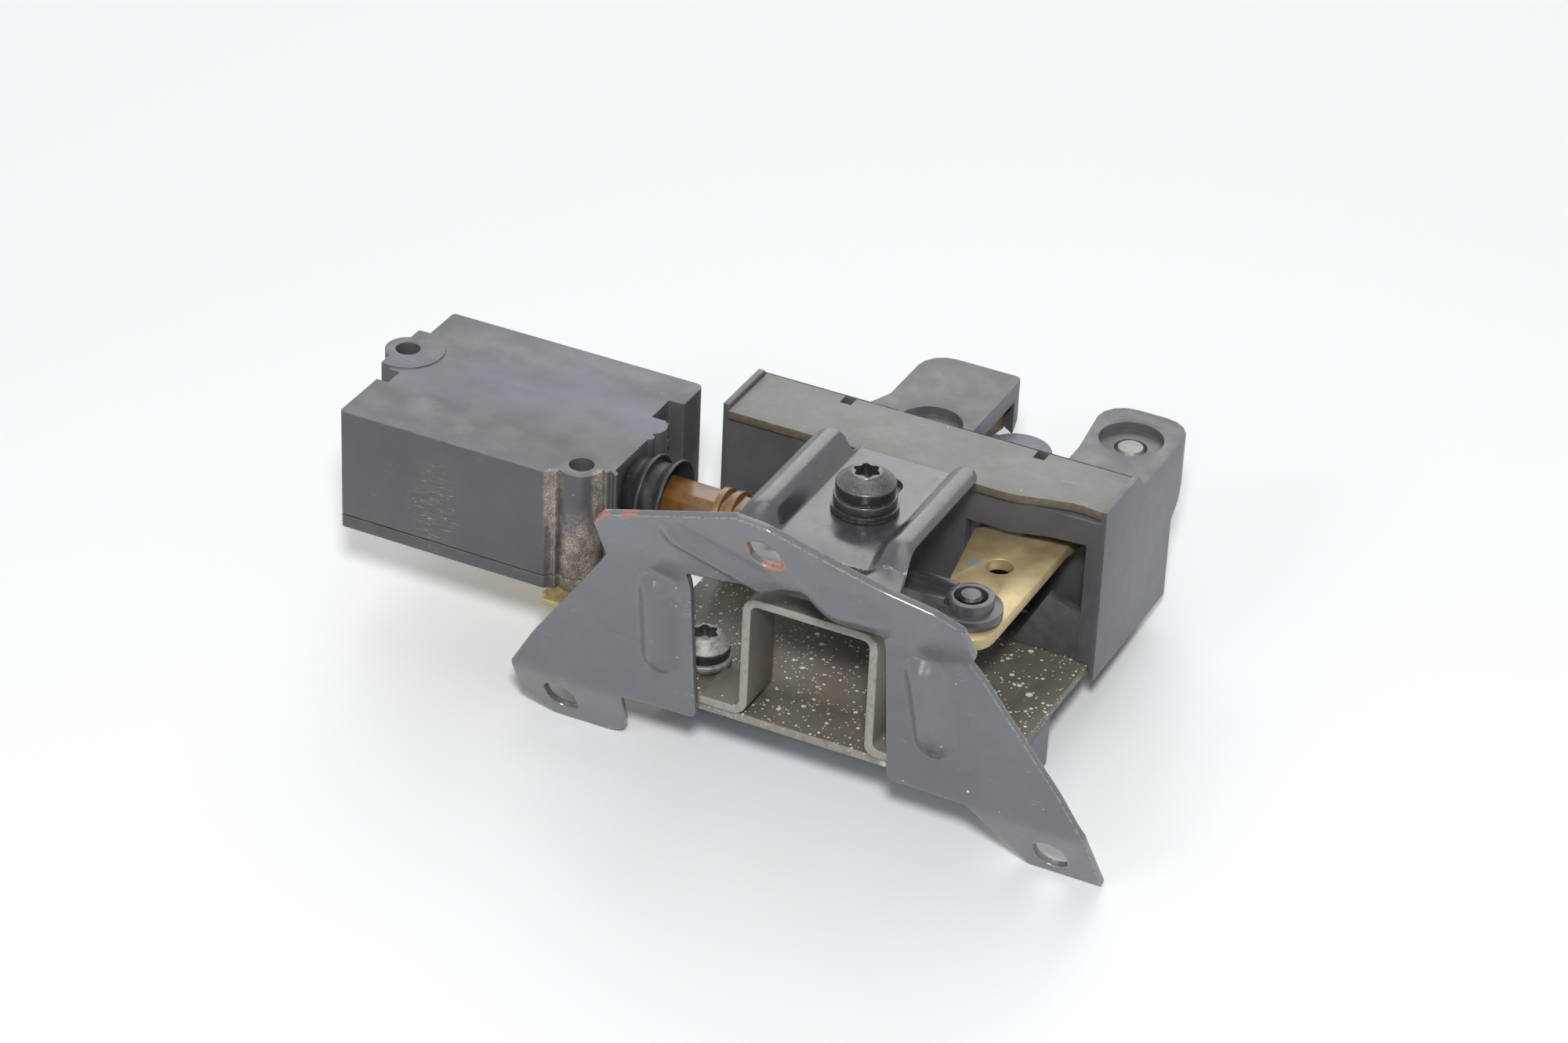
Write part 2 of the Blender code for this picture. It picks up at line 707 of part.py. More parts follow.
def lock_housing():
    half, back = HALF_HOUSING, HOUSING_DEPTH
    top, bottom = TOP_RIM, BASE_BOTTOM - BASE_RIM
    side = ((0, bottom), (back, bottom), (back, top - SLOPE_RUN - 0.3 * MM), (back - SLOPE_RUN, top), (0, top))
    body = prism(side, "X", -half, half)
    join(body, lug(MOUTH_LEFT - LEFT_LUG_WIDTH, MOUTH_LEFT, LUG_FLARE), lug(MOUTH_RIGHT, half, 0))
    over = 10 * MM
    seat = HALF_PLATE + GAP
    rear = TOP_PLATE_BACK + GAP
    cut(
        body,
        block(MOUTH_LEFT, MOUTH_RIGHT, MOUTH_FRONT, LUG_BACK + over, bottom - over, top + over),
        block(-seat, seat, -over, rear, TOP_SEAT, top + over),
        block(-seat, seat, -over, rear, bottom - over, BASE_SEAT),
    )
    right = cavity_right()
    opening = [
        (CAVITY_LEFT, BASE_SEAT - over / 5),
        (right, BASE_SEAT - over / 5),
        (right, TOP_SEAT - LIP_HIGH),
        (right - 7 * MM, TOP_SEAT - LIP_HIGH - 0.4 * MM),
        (CAVITY_LEFT + 9.4 * MM, TOP_SEAT - LIP_LOW),
        (CAVITY_LEFT, TOP_SEAT - LIP_LOW),
    ]
    cut(body, prism(opening, "Y", -over, CAVITY_DEPTH))
    web = [
        (right + 1 * MM, BASE_SEAT),
        (CAVITY_LEFT + 11.4 * MM, BASE_SEAT),
        (CAVITY_LEFT + 18 * MM, BASE_SEAT + WEB_HEIGHT),
        (right + 1 * MM, BASE_SEAT + 0.78 * WEB_HEIGHT),
    ]
    join(body, prism(web, "Y", 0.5 * MM, 0.5 * MM + WEB_THICKNESS))
    hollow = BASE_SEAT + HOLLOW_HEIGHT
    cut(
        body,
        block(
            -half + HOUSING_WALL,
            CAVITY_LEFT - HOUSING_WALL,
            HOUSING_WALL,
            TOP_PLATE_BACK - HOUSING_WALL / 2,
            BASE_SEAT - over / 5,
            hollow,
        ),
    )
    cut(body, claw_pocket(), lever_pocket())
    for pivot in (CLAW_PIVOT, LEVER_PIVOT):
        low = RECESS_Z - PIVOT_PIN_LENGTH - GAP
        cut(
            body,
            cylinder(pivot, SPRING_POCKET, "Z", POCKET_LOW - SPRING_DEPTH, POCKET_LOW + 2 * MM),
            cylinder(pivot, PIVOT_PIN + FIT, "Z", low, over, SMALL_SEGMENTS),
            cylinder(pivot, RECESS_RADIUS, "Z", RECESS_Z, over),
        )
    return body


def lever_pocket():
    """Room for the swing of the release lever inside the right lug."""
    boss = LEVER_BOSS + RUNNING
    right, back = LEVER_PIVOT.x + boss, LEVER_PIVOT.y + boss
    left = LEVER_PIVOT.x - boss
    front = CAVITY_DEPTH - 2 * MM
    nose = MOUTH_FRONT + 1.2 * MM
    points = [
        (CAVITY_LEFT + 6 * MM, front),
        (right, front),
        (right, back, boss),
        (left, back, boss),
        (left, nose),
        (CAVITY_LEFT + 6 * MM, nose),
    ]
    low = LEVER_LOW - RUNNING
    return prism(rounded(points), "Z", low, LEVER_HIGH + RUNNING)


def lever_outline():
    """Stamping of the release lever, from its pivot boss to the pin end."""
    edge = LEVER_PIVOT.x - LEVER_EDGE
    end = (PIN_X + 1.2 * MM, PIN_Y - 3 * MM)
    rim = CLAW_RIM + 2 * RUNNING
    points = [
        (edge, end[1]),
        (edge, LEVER_PIVOT.y - 30 * MM),
    ]
    points += arc(LEVER_PIVOT, LEVER_BOSS, -60 * DEG, 180 * DEG)
    inner = LEVER_PIVOT.x - LEVER_BOSS
    nose = MOUTH_FRONT + 0.2 * MM
    points += [(inner, nose), (inner - 1 * MM, nose)]
    points += arc(CLAW_PIVOT, rim, -10 * DEG, -44 * DEG, 6 * DEG)
    points += [(edge - LEVER_SPAN + 4.7 * MM, LEVER_PIVOT.y - 50.5 * MM)]
    points += arc(end, LEVER_END_RADIUS, 205 * DEG, 360 * DEG, 20 * DEG)[:-1]
    return points


def release_lever():
    low, high = LEVER_LOW - LEVER_THICKNESS, LEVER_HIGH + LEVER_THICKNESS
    body = prism(lever_outline(), "Z", LEVER_LOW, LEVER_HIGH)
    hole = (PIN_X - 2.1 * MM, PIN_Y + 18.5 * MM)
    return cut(
        body,
        cylinder(LEVER_PIVOT, PIVOT_PIN + FIT, "Z", low, high, SMALL_SEGMENTS),
        cylinder((PIN_X, PIN_Y), LEVER_PIN + FIT, "Z", low, high, SMALL_SEGMENTS),
        cylinder(hole, LEVER_HOLE, "Z", low, high, SMALL_SEGMENTS),
    )


def lever_pin():
    head = LEVER_PIN + 1.2 * MM
    base = LEVER_LOW - GAP
    top = LINK_LOW + DISC_THICKNESS + RING_HEIGHT + 0.4 * MM
    rim = 0.5 * MM
    profile = (
        (0, base - 1 * MM),
        (head, base - 1 * MM),
        (head, base),
        (LEVER_PIN, base),
        (LEVER_PIN, top - rim),
        (LEVER_PIN - rim, top),
        (0, top),
    )
    return lathe(profile, "Z", (PIN_X, PIN_Y), SMALL_SEGMENTS)


def link_rod():
    """Moulded link: socket for the plunger, ribbed arm and ring around the lever pin."""
    low, high = LINK_LOW, LINK_LOW + ARM_THICKNESS
    start = PLUNGER_END + GAP
    half = BAR_HALF
    front = PIN_Y - ARM_WIDTH / 2
    back = PIN_Y + ARM_WIDTH / 2
    block_end = start + 2 * SOCKET_LENGTH
    points = [
        (start, PLUNGER_Y - half),
        (block_end, PLUNGER_Y - half),
        (block_end + 6 * MM, front, 3 * MM),
        (PIN_X - 2 * MM, front),
        (PIN_X - 2 * MM, back),
        (block_end + 9 * MM, back, 3 * MM),
        (block_end + 2 * MM, PLUNGER_Y + half, 2 * MM),
        (start, PLUNGER_Y + half),
    ]
    body = prism(rounded(points), "Z", low, high)
    top = high + ARM_RIB
    for y in (front, back - RIB_WIDTH):
        join(body, block(block_end + 10 * MM, PIN_X - 4 * MM, y, y + RIB_WIDTH, high - ARM_RIB, top))
    join(
        body,
        block(start, block_end - 1 * MM, PLUNGER_Y - half, PLUNGER_Y + half, high - ARM_RIB, top),
        cylinder((PIN_X, PIN_Y), DISC_RADIUS, "Z", low, low + DISC_THICKNESS),
    )
    ring = LEVER_PIN + PIN_PLAY
    join(body, cylinder((PIN_X, PIN_Y), ring + RING_WALL, "Z", low + 1 * MM, low + DISC_THICKNESS + RING_HEIGHT))
    gap = TONGUE_HALF + FIT
    end = PLUNGER_END + SOCKET_LENGTH + GAP
    return cut(
        body,
        cylinder((PIN_X, PIN_Y), ring, "Z", low - 1 * MM, top + 3 * MM, 24),
        block(start - 1 * MM, end, PLUNGER_Y - gap, PLUNGER_Y + gap, low - 1 * MM, top + 1 * MM),
    )


def bar_outline(half, chamfer):
    points = []
    for along, across in ((1, 1), (-1, 1), (-1, -1), (1, -1)):
        one = (PLUNGER_Y + along * half, PLUNGER_Z + across * (half - chamfer))
        two = (PLUNGER_Y + along * (half - chamfer), PLUNGER_Z + across * half)
        points += [one, two] if along * across > 0 else [two, one]
    return points


def plunger():
    left = CASE_RIGHT - PLUNGER_IN_CASE
    axis = (PLUNGER_Y, PLUNGER_Z)
    body = prism(bar_outline(BAR_HALF, BAR_CHAMFER), "X", left, PLUNGER_END)
    for k in (0, 1):
        start = PLUNGER_END - COLLAR_SETBACK + k * COLLAR_PITCH
        join(body, cylinder(axis, COLLAR_RADIUS, "X", start, start + COLLAR_THICKNESS))
    low, high = LINK_LOW + 0.4 * MM, LINK_LOW + ARM_THICKNESS + ARM_RIB - 0.3 * MM
    width = TONGUE_HALF
    end = PLUNGER_END + SOCKET_LENGTH
    join(body, block(PLUNGER_END - 3 * MM, end, PLUNGER_Y - width, PLUNGER_Y + width, low, high))
    bore = SPINDLE_RADIUS + 0.4 * MM
    return cut(body, cylinder(axis, bore, "X", left - 1 * MM, CASE_RIGHT + 3 * MM, SMALL_SEGMENTS))


def boot():
    inner = math.hypot(BAR_HALF, BAR_HALF - BAR_CHAMFER) + RUNNING
    left = CASE_RIGHT + GAP
    right = left + BOOT_LENGTH
    middle = left + BOOT_LENGTH / 2
    outer, drum, lip = BOOT_RADIUS, BOOT_RADIUS - BOOT_GROOVE, BOOT_LIP
    cup = drum - lip
    profile = (
        (inner, left),
        (drum, left),
        (drum, middle - 3 * lip),
        (outer - 0.5 * lip, middle - 1.2 * lip),
        (outer, middle - 0.4 * lip),
        (outer - 0.3 * lip, middle),
        (drum, middle - 0.5 * lip),
        (drum, right - 3.6 * lip),
        (outer - 0.5 * lip, right - 1.2 * lip),
        (outer, right - 0.4 * lip),
        (outer - 0.3 * lip, right),
        (outer - 1.2 * lip, right - 0.6 * lip),
        (cup, right - 3.2 * lip),
        (inner, right - 3.4 * lip),
    )
    return lathe(profile, "X", (PLUNGER_Y, PLUNGER_Z))


def case_posts():
    """Places of the three screw posts."""
    left, right = CASE_LEFT + POST_INSET, CASE_RIGHT - POST_INSET
    front, back = CASE_FRONT + POST_INSET - 0.6 * MM, CASE_BACK - POST_INSET + 0.6 * MM
    return ((left, CASE_FRONT + CARRIER_SETBACK + POST_RADIUS), (left, back), (right, front))


def case_outline():
    """Plan of the actuator: a box with a screw boss between two flutes at its front right."""
    post = case_posts()[2]
    flute = post[0] - BOSS_RADIUS + 0.8 * MM
    points = [
        (CASE_LEFT, CASE_BACK, CASE_ROUNDING),
        (CASE_LEFT, CASE_FRONT, CASE_ROUNDING),
        (flute - 0.8 * MM, CASE_FRONT, BEAD / 2),
        (flute, CASE_FRONT + 1.3 * MM, BEAD / 2),
        (flute + 1 * MM, CASE_FRONT + 0.8 * MM, BEAD / 2),
    ]
    points += arc(post, BOSS_RADIUS, 232 * DEG, 365 * DEG)
    edge = points[-1]
    points += [
        (edge[0] + BEAD, edge[1] - 0.9 * BEAD, BEAD / 3),
        (edge[0] + 1.7 * BEAD, edge[1] + 0.5 * BEAD, BEAD / 3),
        (CASE_RIGHT + 1.2 * BEAD, edge[1] - 1.2 * BEAD, BEAD / 2),
        (CASE_RIGHT + 1.2 * BEAD, edge[1] + 0.2 * BEAD, BEAD / 3),
        (CASE_RIGHT, edge[1] + BEAD),
        (CASE_RIGHT, CASE_BACK, 2 * CASE_ROUNDING),
    ]
    return rounded(points)


def case_room():
    """Inside of the actuator in plan, with its front right corner filled."""
    wall = CASE_WALL
    corner = case_posts()[2][0] - BOSS_RADIUS - 1.3 * MM
    fill = PLUNGER_Y - BAR_HALF - 2 * RUNNING
    return [
        (CASE_LEFT + wall, CASE_FRONT + wall),
        (corner, CASE_FRONT + wall),
        (corner, fill - wall),
        (corner + wall, fill),
        (CASE_RIGHT - wall, fill),
        (CASE_RIGHT - wall, CASE_BACK - wall),
        (CASE_LEFT + wall, CASE_BACK - wall),
    ]


def actuator_case():
    """Moulded housing of the actuator, open below."""
    low, wall = -CASE_HEIGHT, CASE_WALL
    body = prism(case_outline(), "Z", low, 0)
    inside = prism(case_room(), "Z", low - wall, -wall)
    ear = (CASE_LEFT - EAR_OUT, CASE_FRONT + EAR_BACK)
    connector = CASE_FRONT + CONNECTOR_BACK
    half = CONNECTOR_WIDTH / 2
    depth = CASE_RIGHT - CONNECTOR_DEPTH
    side = CASE_LEFT - EAR_RADIUS / 2
    disc = keep(
        cylinder(ear, EAR_DISC, "Z", -EAR_HEIGHT, DISC_RISE, 40),
        block(side, CASE_LEFT + 3 * EAR_DISC, ear[1] - EAR_DISC - 1 * MM, CASE_BACK, -EAR_HEIGHT / 2, 1 * MM),
    )
    join(body, disc, cylinder(ear, EAR_RADIUS, "Z", -EAR_HEIGHT, DISC_RISE))
    cut(body, inside)
    notch = ear[1] - EAR_DISC - 0.8 * MM
    join(
        body,
        block(CASE_LEFT + wall / 2, CASE_LEFT + NOTCH_IN_CASE + wall, notch - NOTCH_LENGTH - wall, notch + wall,
              -NOTCH_DEEP - wall, -wall / 2),
    )
    cut(body, block(CASE_LEFT - wall, CASE_LEFT + NOTCH_IN_CASE, notch - NOTCH_LENGTH, notch, -NOTCH_DEEP, wall))
    for post in case_posts():
        join(body, cylinder(post, POST_RADIUS, "Z", low, -wall / 2, SMALL_SEGMENTS))
        cut(body, cylinder(post, CASE_SHAFT + FIT, "Z", low - wall, low + CASE_SHAFT_LENGTH, 12))
    shell = block(depth - 2 * wall, CASE_RIGHT - wall / 2, connector - half - wall, connector + half + wall,
                  -CONNECTOR_HEIGHT - wall, -wall / 2)
    tab = cylinder((CASE_RIGHT + TAB_REACH - TAB_RADIUS, connector - half - TAB_RADIUS), TAB_RADIUS, "Z",
                   -CONNECTOR_HEIGHT, 0, SMALL_SEGMENTS)
    bead = cylinder((CASE_RIGHT, connector - half - 2.3 * TAB_RADIUS), BEAD, "Z", -BEAD_DEPTH, 0, 12)
    join(body, shell, tab, bead)
    corner = case_posts()[2]
    cut(
        body,
        block(depth, CASE_RIGHT + wall, connector - half, connector + half, -CONNECTOR_HEIGHT, wall),
        cylinder(ear, EAR_HOLE, "Z", -CASE_HEIGHT, 2 * wall, SMALL_SEGMENTS),
        cylinder(corner, EAR_HOLE, "Z", -HOLE_DEPTH, wall, SMALL_SEGMENTS),
        prism(bar_outline(BAR_HALF + RUNNING, BAR_CHAMFER), "X", CASE_RIGHT - 3 * wall, CASE_RIGHT + wall),
    )
    for y, z in terminal_places():
        hole = TERMINAL / 2 + FIT
        cut(body, block(depth - 3 * wall, depth + wall / 2, y - hole, y + hole, z - hole, z + hole))
    return body


def terminal_places():
    y = CASE_FRONT + CONNECTOR_BACK
    step = CONNECTOR_HEIGHT / (TERMINALS + 1)
    return [(y, -step * (k + 1)) for k in range(TERMINALS)]


def terminal(y, z):
    left = CASE_RIGHT - CONNECTOR_DEPTH + 1.8 * MM - TERMINAL_LENGTH
    half = TERMINAL / 2
    return block(left, left + TERMINAL_LENGTH, y - half, y + half, z - half, z + half)


def actuator_lid():
    """Lid under the actuator with the motor cradle."""
    high = -CASE_HEIGHT - GAP
    body = prism(case_outline(), "Z", LID_LOW, high)
    half = 0.6 * MOTOR_RADIUS
    for x in (MOTOR_RIGHT - 0.8 * MOTOR_LENGTH, MOTOR_RIGHT - 0.3 * MOTOR_LENGTH):
        join(body, block(x, x + 2 * MM, MOTOR_Y - half, MOTOR_Y + half, high - 1 * MM, MOTOR_Z - MOTOR_RADIUS / 2))
    bearing = bearing_left()
    foot = block(bearing, bearing + BEARING_THICKNESS, PLUNGER_Y - BEARING_HALF, PLUNGER_Y + BEARING_HALF,
                 high - 1 * MM, PLUNGER_Z - BEARING_HALF - GAP)
    join(body, foot)
    cut(body, cylinder((MOTOR_Y, MOTOR_Z), MOTOR_RADIUS + GAP, "X", MOTOR_RIGHT - 2 * MOTOR_LENGTH,
                       MOTOR_RIGHT + GAP))
    for post in case_posts():
        cut(body, cylinder(post, CASE_SHAFT + FIT, "Z", LID_LOW - 1 * MM, high + 1 * MM, 12))
    return body


def bearing_left():
    return GEAR_RIGHT + 1 * MM


def spindle_bearing():
    left = bearing_left()
    half = BEARING_HALF
    body = prism(
        rectangle(PLUNGER_Y - half, PLUNGER_Y + half, PLUNGER_Z - half, PLUNGER_Z + half, 1 * MM),
        "X",
        left,
        left + BEARING_THICKNESS,
    )
    hole = SPINDLE_RADIUS + FIT
    return cut(body, cylinder((PLUNGER_Y, PLUNGER_Z), hole, "X", left - 1 * MM, left + 9 * MM, 24))


def gear_outline(centre, teeth, turn):
    """Spur gear with slim straight teeth, one tooth at the given angle."""
    pitch = 2 * math.pi / teeth
    root = MODULE * (teeth / 2 - 1.25)
    tip = MODULE * (teeth / 2 + 1)
    points = []
    for k in range(teeth):
        middle = turn + k * pitch
        for radius, part in ((root, -0.26), (tip, -0.1), (tip, 0.1), (root, 0.26)):
            points.append(polar(centre, radius, middle + part * pitch))
    return points


def motor():
    right, left = MOTOR_RIGHT, MOTOR_RIGHT - MOTOR_LENGTH
    rim = 1 * MM
    hub = 3 * MOTOR_SHAFT
    shaft = MOTOR_SHAFT + FIT
    profile = (
        (0, left),
        (MOTOR_RADIUS - rim, left),
        (MOTOR_RADIUS, left + rim),
        (MOTOR_RADIUS, right - 2 * rim),
        (MOTOR_RADIUS - rim, right - rim),
        (hub, right - rim),
        (hub, right),
        (shaft, right),
        (shaft, right - 4 * rim),
        (0, right - 4 * rim),
    )
    return lathe(profile, "X", (MOTOR_Y, MOTOR_Z), 24)


def motor_pinion():
    centre = (MOTOR_Y, MOTOR_Z)
    outline = gear_outline(centre, PINION_TEETH, GEAR_TURN + math.pi)
    body = prism(outline, "X", GEAR_LEFT, GEAR_RIGHT)
    return join(body, cylinder(centre, MOTOR_SHAFT, "X", MOTOR_RIGHT - 3 * MM, GEAR_LEFT + 1 * MM, 12))


def spindle_gear():
    """Gear on the threaded spindle that runs in the plunger."""
    centre = (PLUNGER_Y, PLUNGER_Z)
    pitch = 2 * math.pi / GEAR_TEETH
    body = prism(gear_outline(centre, GEAR_TEETH, GEAR_TURN + pitch / 2), "X", GEAR_LEFT, GEAR_RIGHT)
    thread = SPINDLE_RADIUS - 0.35 * MM
    start = bearing_left() + BEARING_THICKNESS + 1 * MM
    end = CASE_RIGHT - 0.5 * MM
    profile = [(0, GEAR_LEFT + 1 * MM), (SPINDLE_RADIUS, GEAR_LEFT + 1 * MM), (SPINDLE_RADIUS, start)]
    turns = 8
    step = (end - start) / turns
    for k in range(turns):
        place = start + k * step
        profile += [(thread, place + 0.3 * step), (thread, place + 0.5 * step), (SPINDLE_RADIUS, place + 0.8 * step)]
    profile += [(thread, end), (0, end)]
    return join(body, lathe(profile, "X", centre, 16))


def claw_steel(grow=0.0, lift=0.0):
    """Steel of the claw, or the room it needs when grown."""
    low, high = CLAW_LOW - lift, CLAW_HIGH + lift
    finger = polar(CLAW_PIVOT, FINGER_REACH, FINGER_ANGLE)
    return prism(capsule(CLAW_PIVOT, finger, FINGER_RADIUS + grow), "Z", low, high)


def claw():
    low, high = CLAW_LOW, CLAW_HIGH
    body = claw_steel()
    hook = [
        polar(CLAW_PIVOT, 0.8 * CLAW_BOSS, HOOK_START - 22 * DEG),
        (*polar(CLAW_PIVOT, 1.3 * CLAW_BOSS, HOOK_START - 6 * DEG), 3 * MM),
        (*polar(CLAW_PIVOT, HOOK_RADIUS, HOOK_START), 1.2 * MM),
        (*polar(CLAW_PIVOT, HOOK_RADIUS, HOOK_END), 3 * MM),
        polar(CLAW_PIVOT, 0.95 * CLAW_BOSS, HOOK_END + 12 * DEG),
        tuple(CLAW_PIVOT),
    ]
    join(body, cylinder(CLAW_PIVOT, CLAW_BOSS, "Z", low, high), prism(rounded(hook), "Z", low, high))
    return cut(body, cylinder(CLAW_PIVOT, PIVOT_PIN + FIT, "Z", low - 1 * MM, high + 1 * MM, SMALL_SEGMENTS))


def claw_cover():
    """Jacket around the finger of the claw."""
    finger = polar(CLAW_PIVOT, FINGER_REACH, FINGER_ANGLE)
    low, high = CLAW_MID_Z - COVER_HALF, CLAW_MID_Z + COVER_HALF
    body = cylinder(finger, COVER_RADIUS, "Z", low, high)
    return cut(body, claw_steel(FIT, FIT))


def pivot_pin(pivot):
    top = RECESS_Z + 0.2 * MM
    low = RECESS_Z - PIVOT_PIN_LENGTH
    rim = 0.5 * MM
    profile = (
        (0, low),
        (PIVOT_PIN - rim, low),
        (PIVOT_PIN, low + rim),
        (PIVOT_PIN, top - rim),
        (PIVOT_PIN - rim, top),
        (0, top),
    )
    return lathe(profile, "Z", pivot, SMALL_SEGMENTS)


def spring(pivot):
    """Torsion spring in its pocket under the piece that it turns."""
    low = POCKET_LOW - SPRING_DEPTH + GAP + WIRE
    per_turn, sides = 16, 6
    steps = round(COIL_TURNS * per_turn)
    mesh = bmesh.new()
    rings = []
    for k in range(steps + 1):
        angle = 2 * math.pi * k / per_turn
        radius = COIL + (0.9 * MM if k in (0, steps) else 0)
        out = Vector((math.cos(angle), math.sin(angle), 0))
        middle = Vector((*pivot, low + COIL_PITCH * k / per_turn)) + out * radius
        up = Vector((0, 0, 1))
        turns = [2 * math.pi * s / sides for s in range(sides)]
        rings.append([mesh.verts.new(middle + WIRE * (out * math.cos(t) + up * math.sin(t))) for t in turns])
    for one, two in zip(rings, rings[1:]):
        for s in range(sides):
            mesh.faces.new((one[s - 1], one[s], two[s], two[s - 1]))
    mesh.faces.new(rings[0])
    mesh.faces.new(rings[-1])
    return solid(mesh)


def bracket_outline():
    """Developed front view of the mounting bracket."""
    leg_low = LEG_FOLD_Z - LEG_LENGTH
    foot_low = leg_low - FOOT_DROP
    knee = LEG_FOLD_Z - KNEE_DROP
    fold, neck = LEG_FOLD_Z, LEG_FOLD_Z + NECK_RISE
    small = 1.5 * MM
    peak = fold + BEAM_RISE
    right = [
        (PEAK_X, peak, 2.5 * MM),
        (PEAK_X + 6.3 * MM, peak - 0.9 * MM, 5 * MM),
        (0.4 * SHOULDER, peak - 7 * MM, 20 * MM),
        (0.62 * SHOULDER, peak - 10.8 * MM, 20 * MM),
        (0.86 * SHOULDER, fold + TIP_RISE - 0.4 * MM, 4 * MM),
        (SHOULDER - 0.8 * MM, fold + SHOULDER_RISE + 0.6 * MM, small),
        (SHOULDER, neck + 3 * MM, small),
        (NECK, neck, small),
        (KNEE, knee, 16 * MM),
        (FOOT_TOP, leg_low, 3 * MM),
        (FOOT_OUT, foot_low),
        (FOOT_IN, foot_low, small),
        (FOOT_NOTCH, leg_low - 0.5 * MM, small),
        (LEG_GAP, leg_low, small),
    ]
    edge, crest = fold + EDGE_RISE, fold + EDGE_RISE + ARCH_RISE
    wave = [
        (LEG_GAP, edge, small),
        (0.6 * LEG_GAP, edge - 0.3 * MM, small),
        (0.3 * LEG_GAP, crest, 2.5 * MM),
        (-0.05 * LEG_GAP, crest - 2 * MM, 2.5 * MM),
        (-0.66 * LEG_GAP, edge + 1 * MM, 3 * MM),
        (-LEG_GAP, edge + 0.2 * MM, small),
    ]
    left = [
        (-LEG_GAP, leg_low, small),
        (-FOOT_NOTCH, leg_low - 0.5 * MM, small),
        (-LEFT_FOOT_IN, foot_low + 0.3 * MM, 6 * MM),
        (-FOOT_OUT + 5.5 * MM, foot_low, 3 * MM),
        (-FOOT_OUT, foot_low + 5.5 * MM, 3 * MM),
        (-FOOT_TOP, leg_low, 3 * MM),
        (-KNEE, knee, 16 * MM),
        (-NECK, neck, small),
        (-NECK + 0.7 * MM, fold + SHOULDER_RISE + 0.6 * MM, small),
        (-NECK + 3.6 * MM, fold + TIP_RISE, small),
    ]
    return rounded(right + wave + left)


def pressed_rib(body, start, end, width, height, shape):
    """Rib pressed forward out of the sheet between two (x, z) places of one flat face."""
    for side in (0, 1):
        sunk = SHEET * side + RIB_SINK
        radius = width - 0.9 * MM * side
        a = Vector((start[0], shape(start[1]), start[1]))
        b = Vector((end[0], shape(end[1]), end[1]))
        along = (b - a).normalized()
        slope = (shape(1 * MM) - shape(0)) / (1 * MM)
        out = Vector((0, -1, slope)).normalized()
        across = out.cross(along)
        middle = -out * sunk
        mesh = bmesh.new()
        bmesh.ops.create_uvsphere(mesh, u_segments=16, v_segments=11, radius=1)
        bmesh.ops.rotate(mesh, verts=mesh.verts, cent=(0, 0, 0), matrix=Matrix.Rotation(11.25 * DEG, 3, "Z"))
        for vertex in mesh.verts:
            shift = a if vertex.co.z < 0 else b
            place = shift + middle + along * vertex.co.z * radius
            vertex.co = place + across * vertex.co.x * radius + out * vertex.co.y * height
        tool = solid(mesh)
        if side:
            cut(body, tool)
        else:
            join(body, tool)
    return body


def slot_tool(place, shape):
    """Cutter for a fixing slot, square to the pad."""
    slope = (shape(1 * MM) - shape(0)) / (1 * MM)
    out = Vector((0, -1, slope)).normalized()
    up = Vector((0, slope, 1)).normalized()
    reach = (SLOT_LENGTH - SLOT_WIDTH) / 2
    tool = prism(capsule((0, -reach), (0, reach), SLOT_WIDTH / 2), "Z", -6 * MM, 6 * MM)
    frame = Matrix((Vector((1, 0, 0)), up, out)).transposed().to_4x4()
    where = Vector((place[0], shape(place[1]), place[1]))
    tool.data.transform(Matrix.Translation(where) @ frame)
    return tool


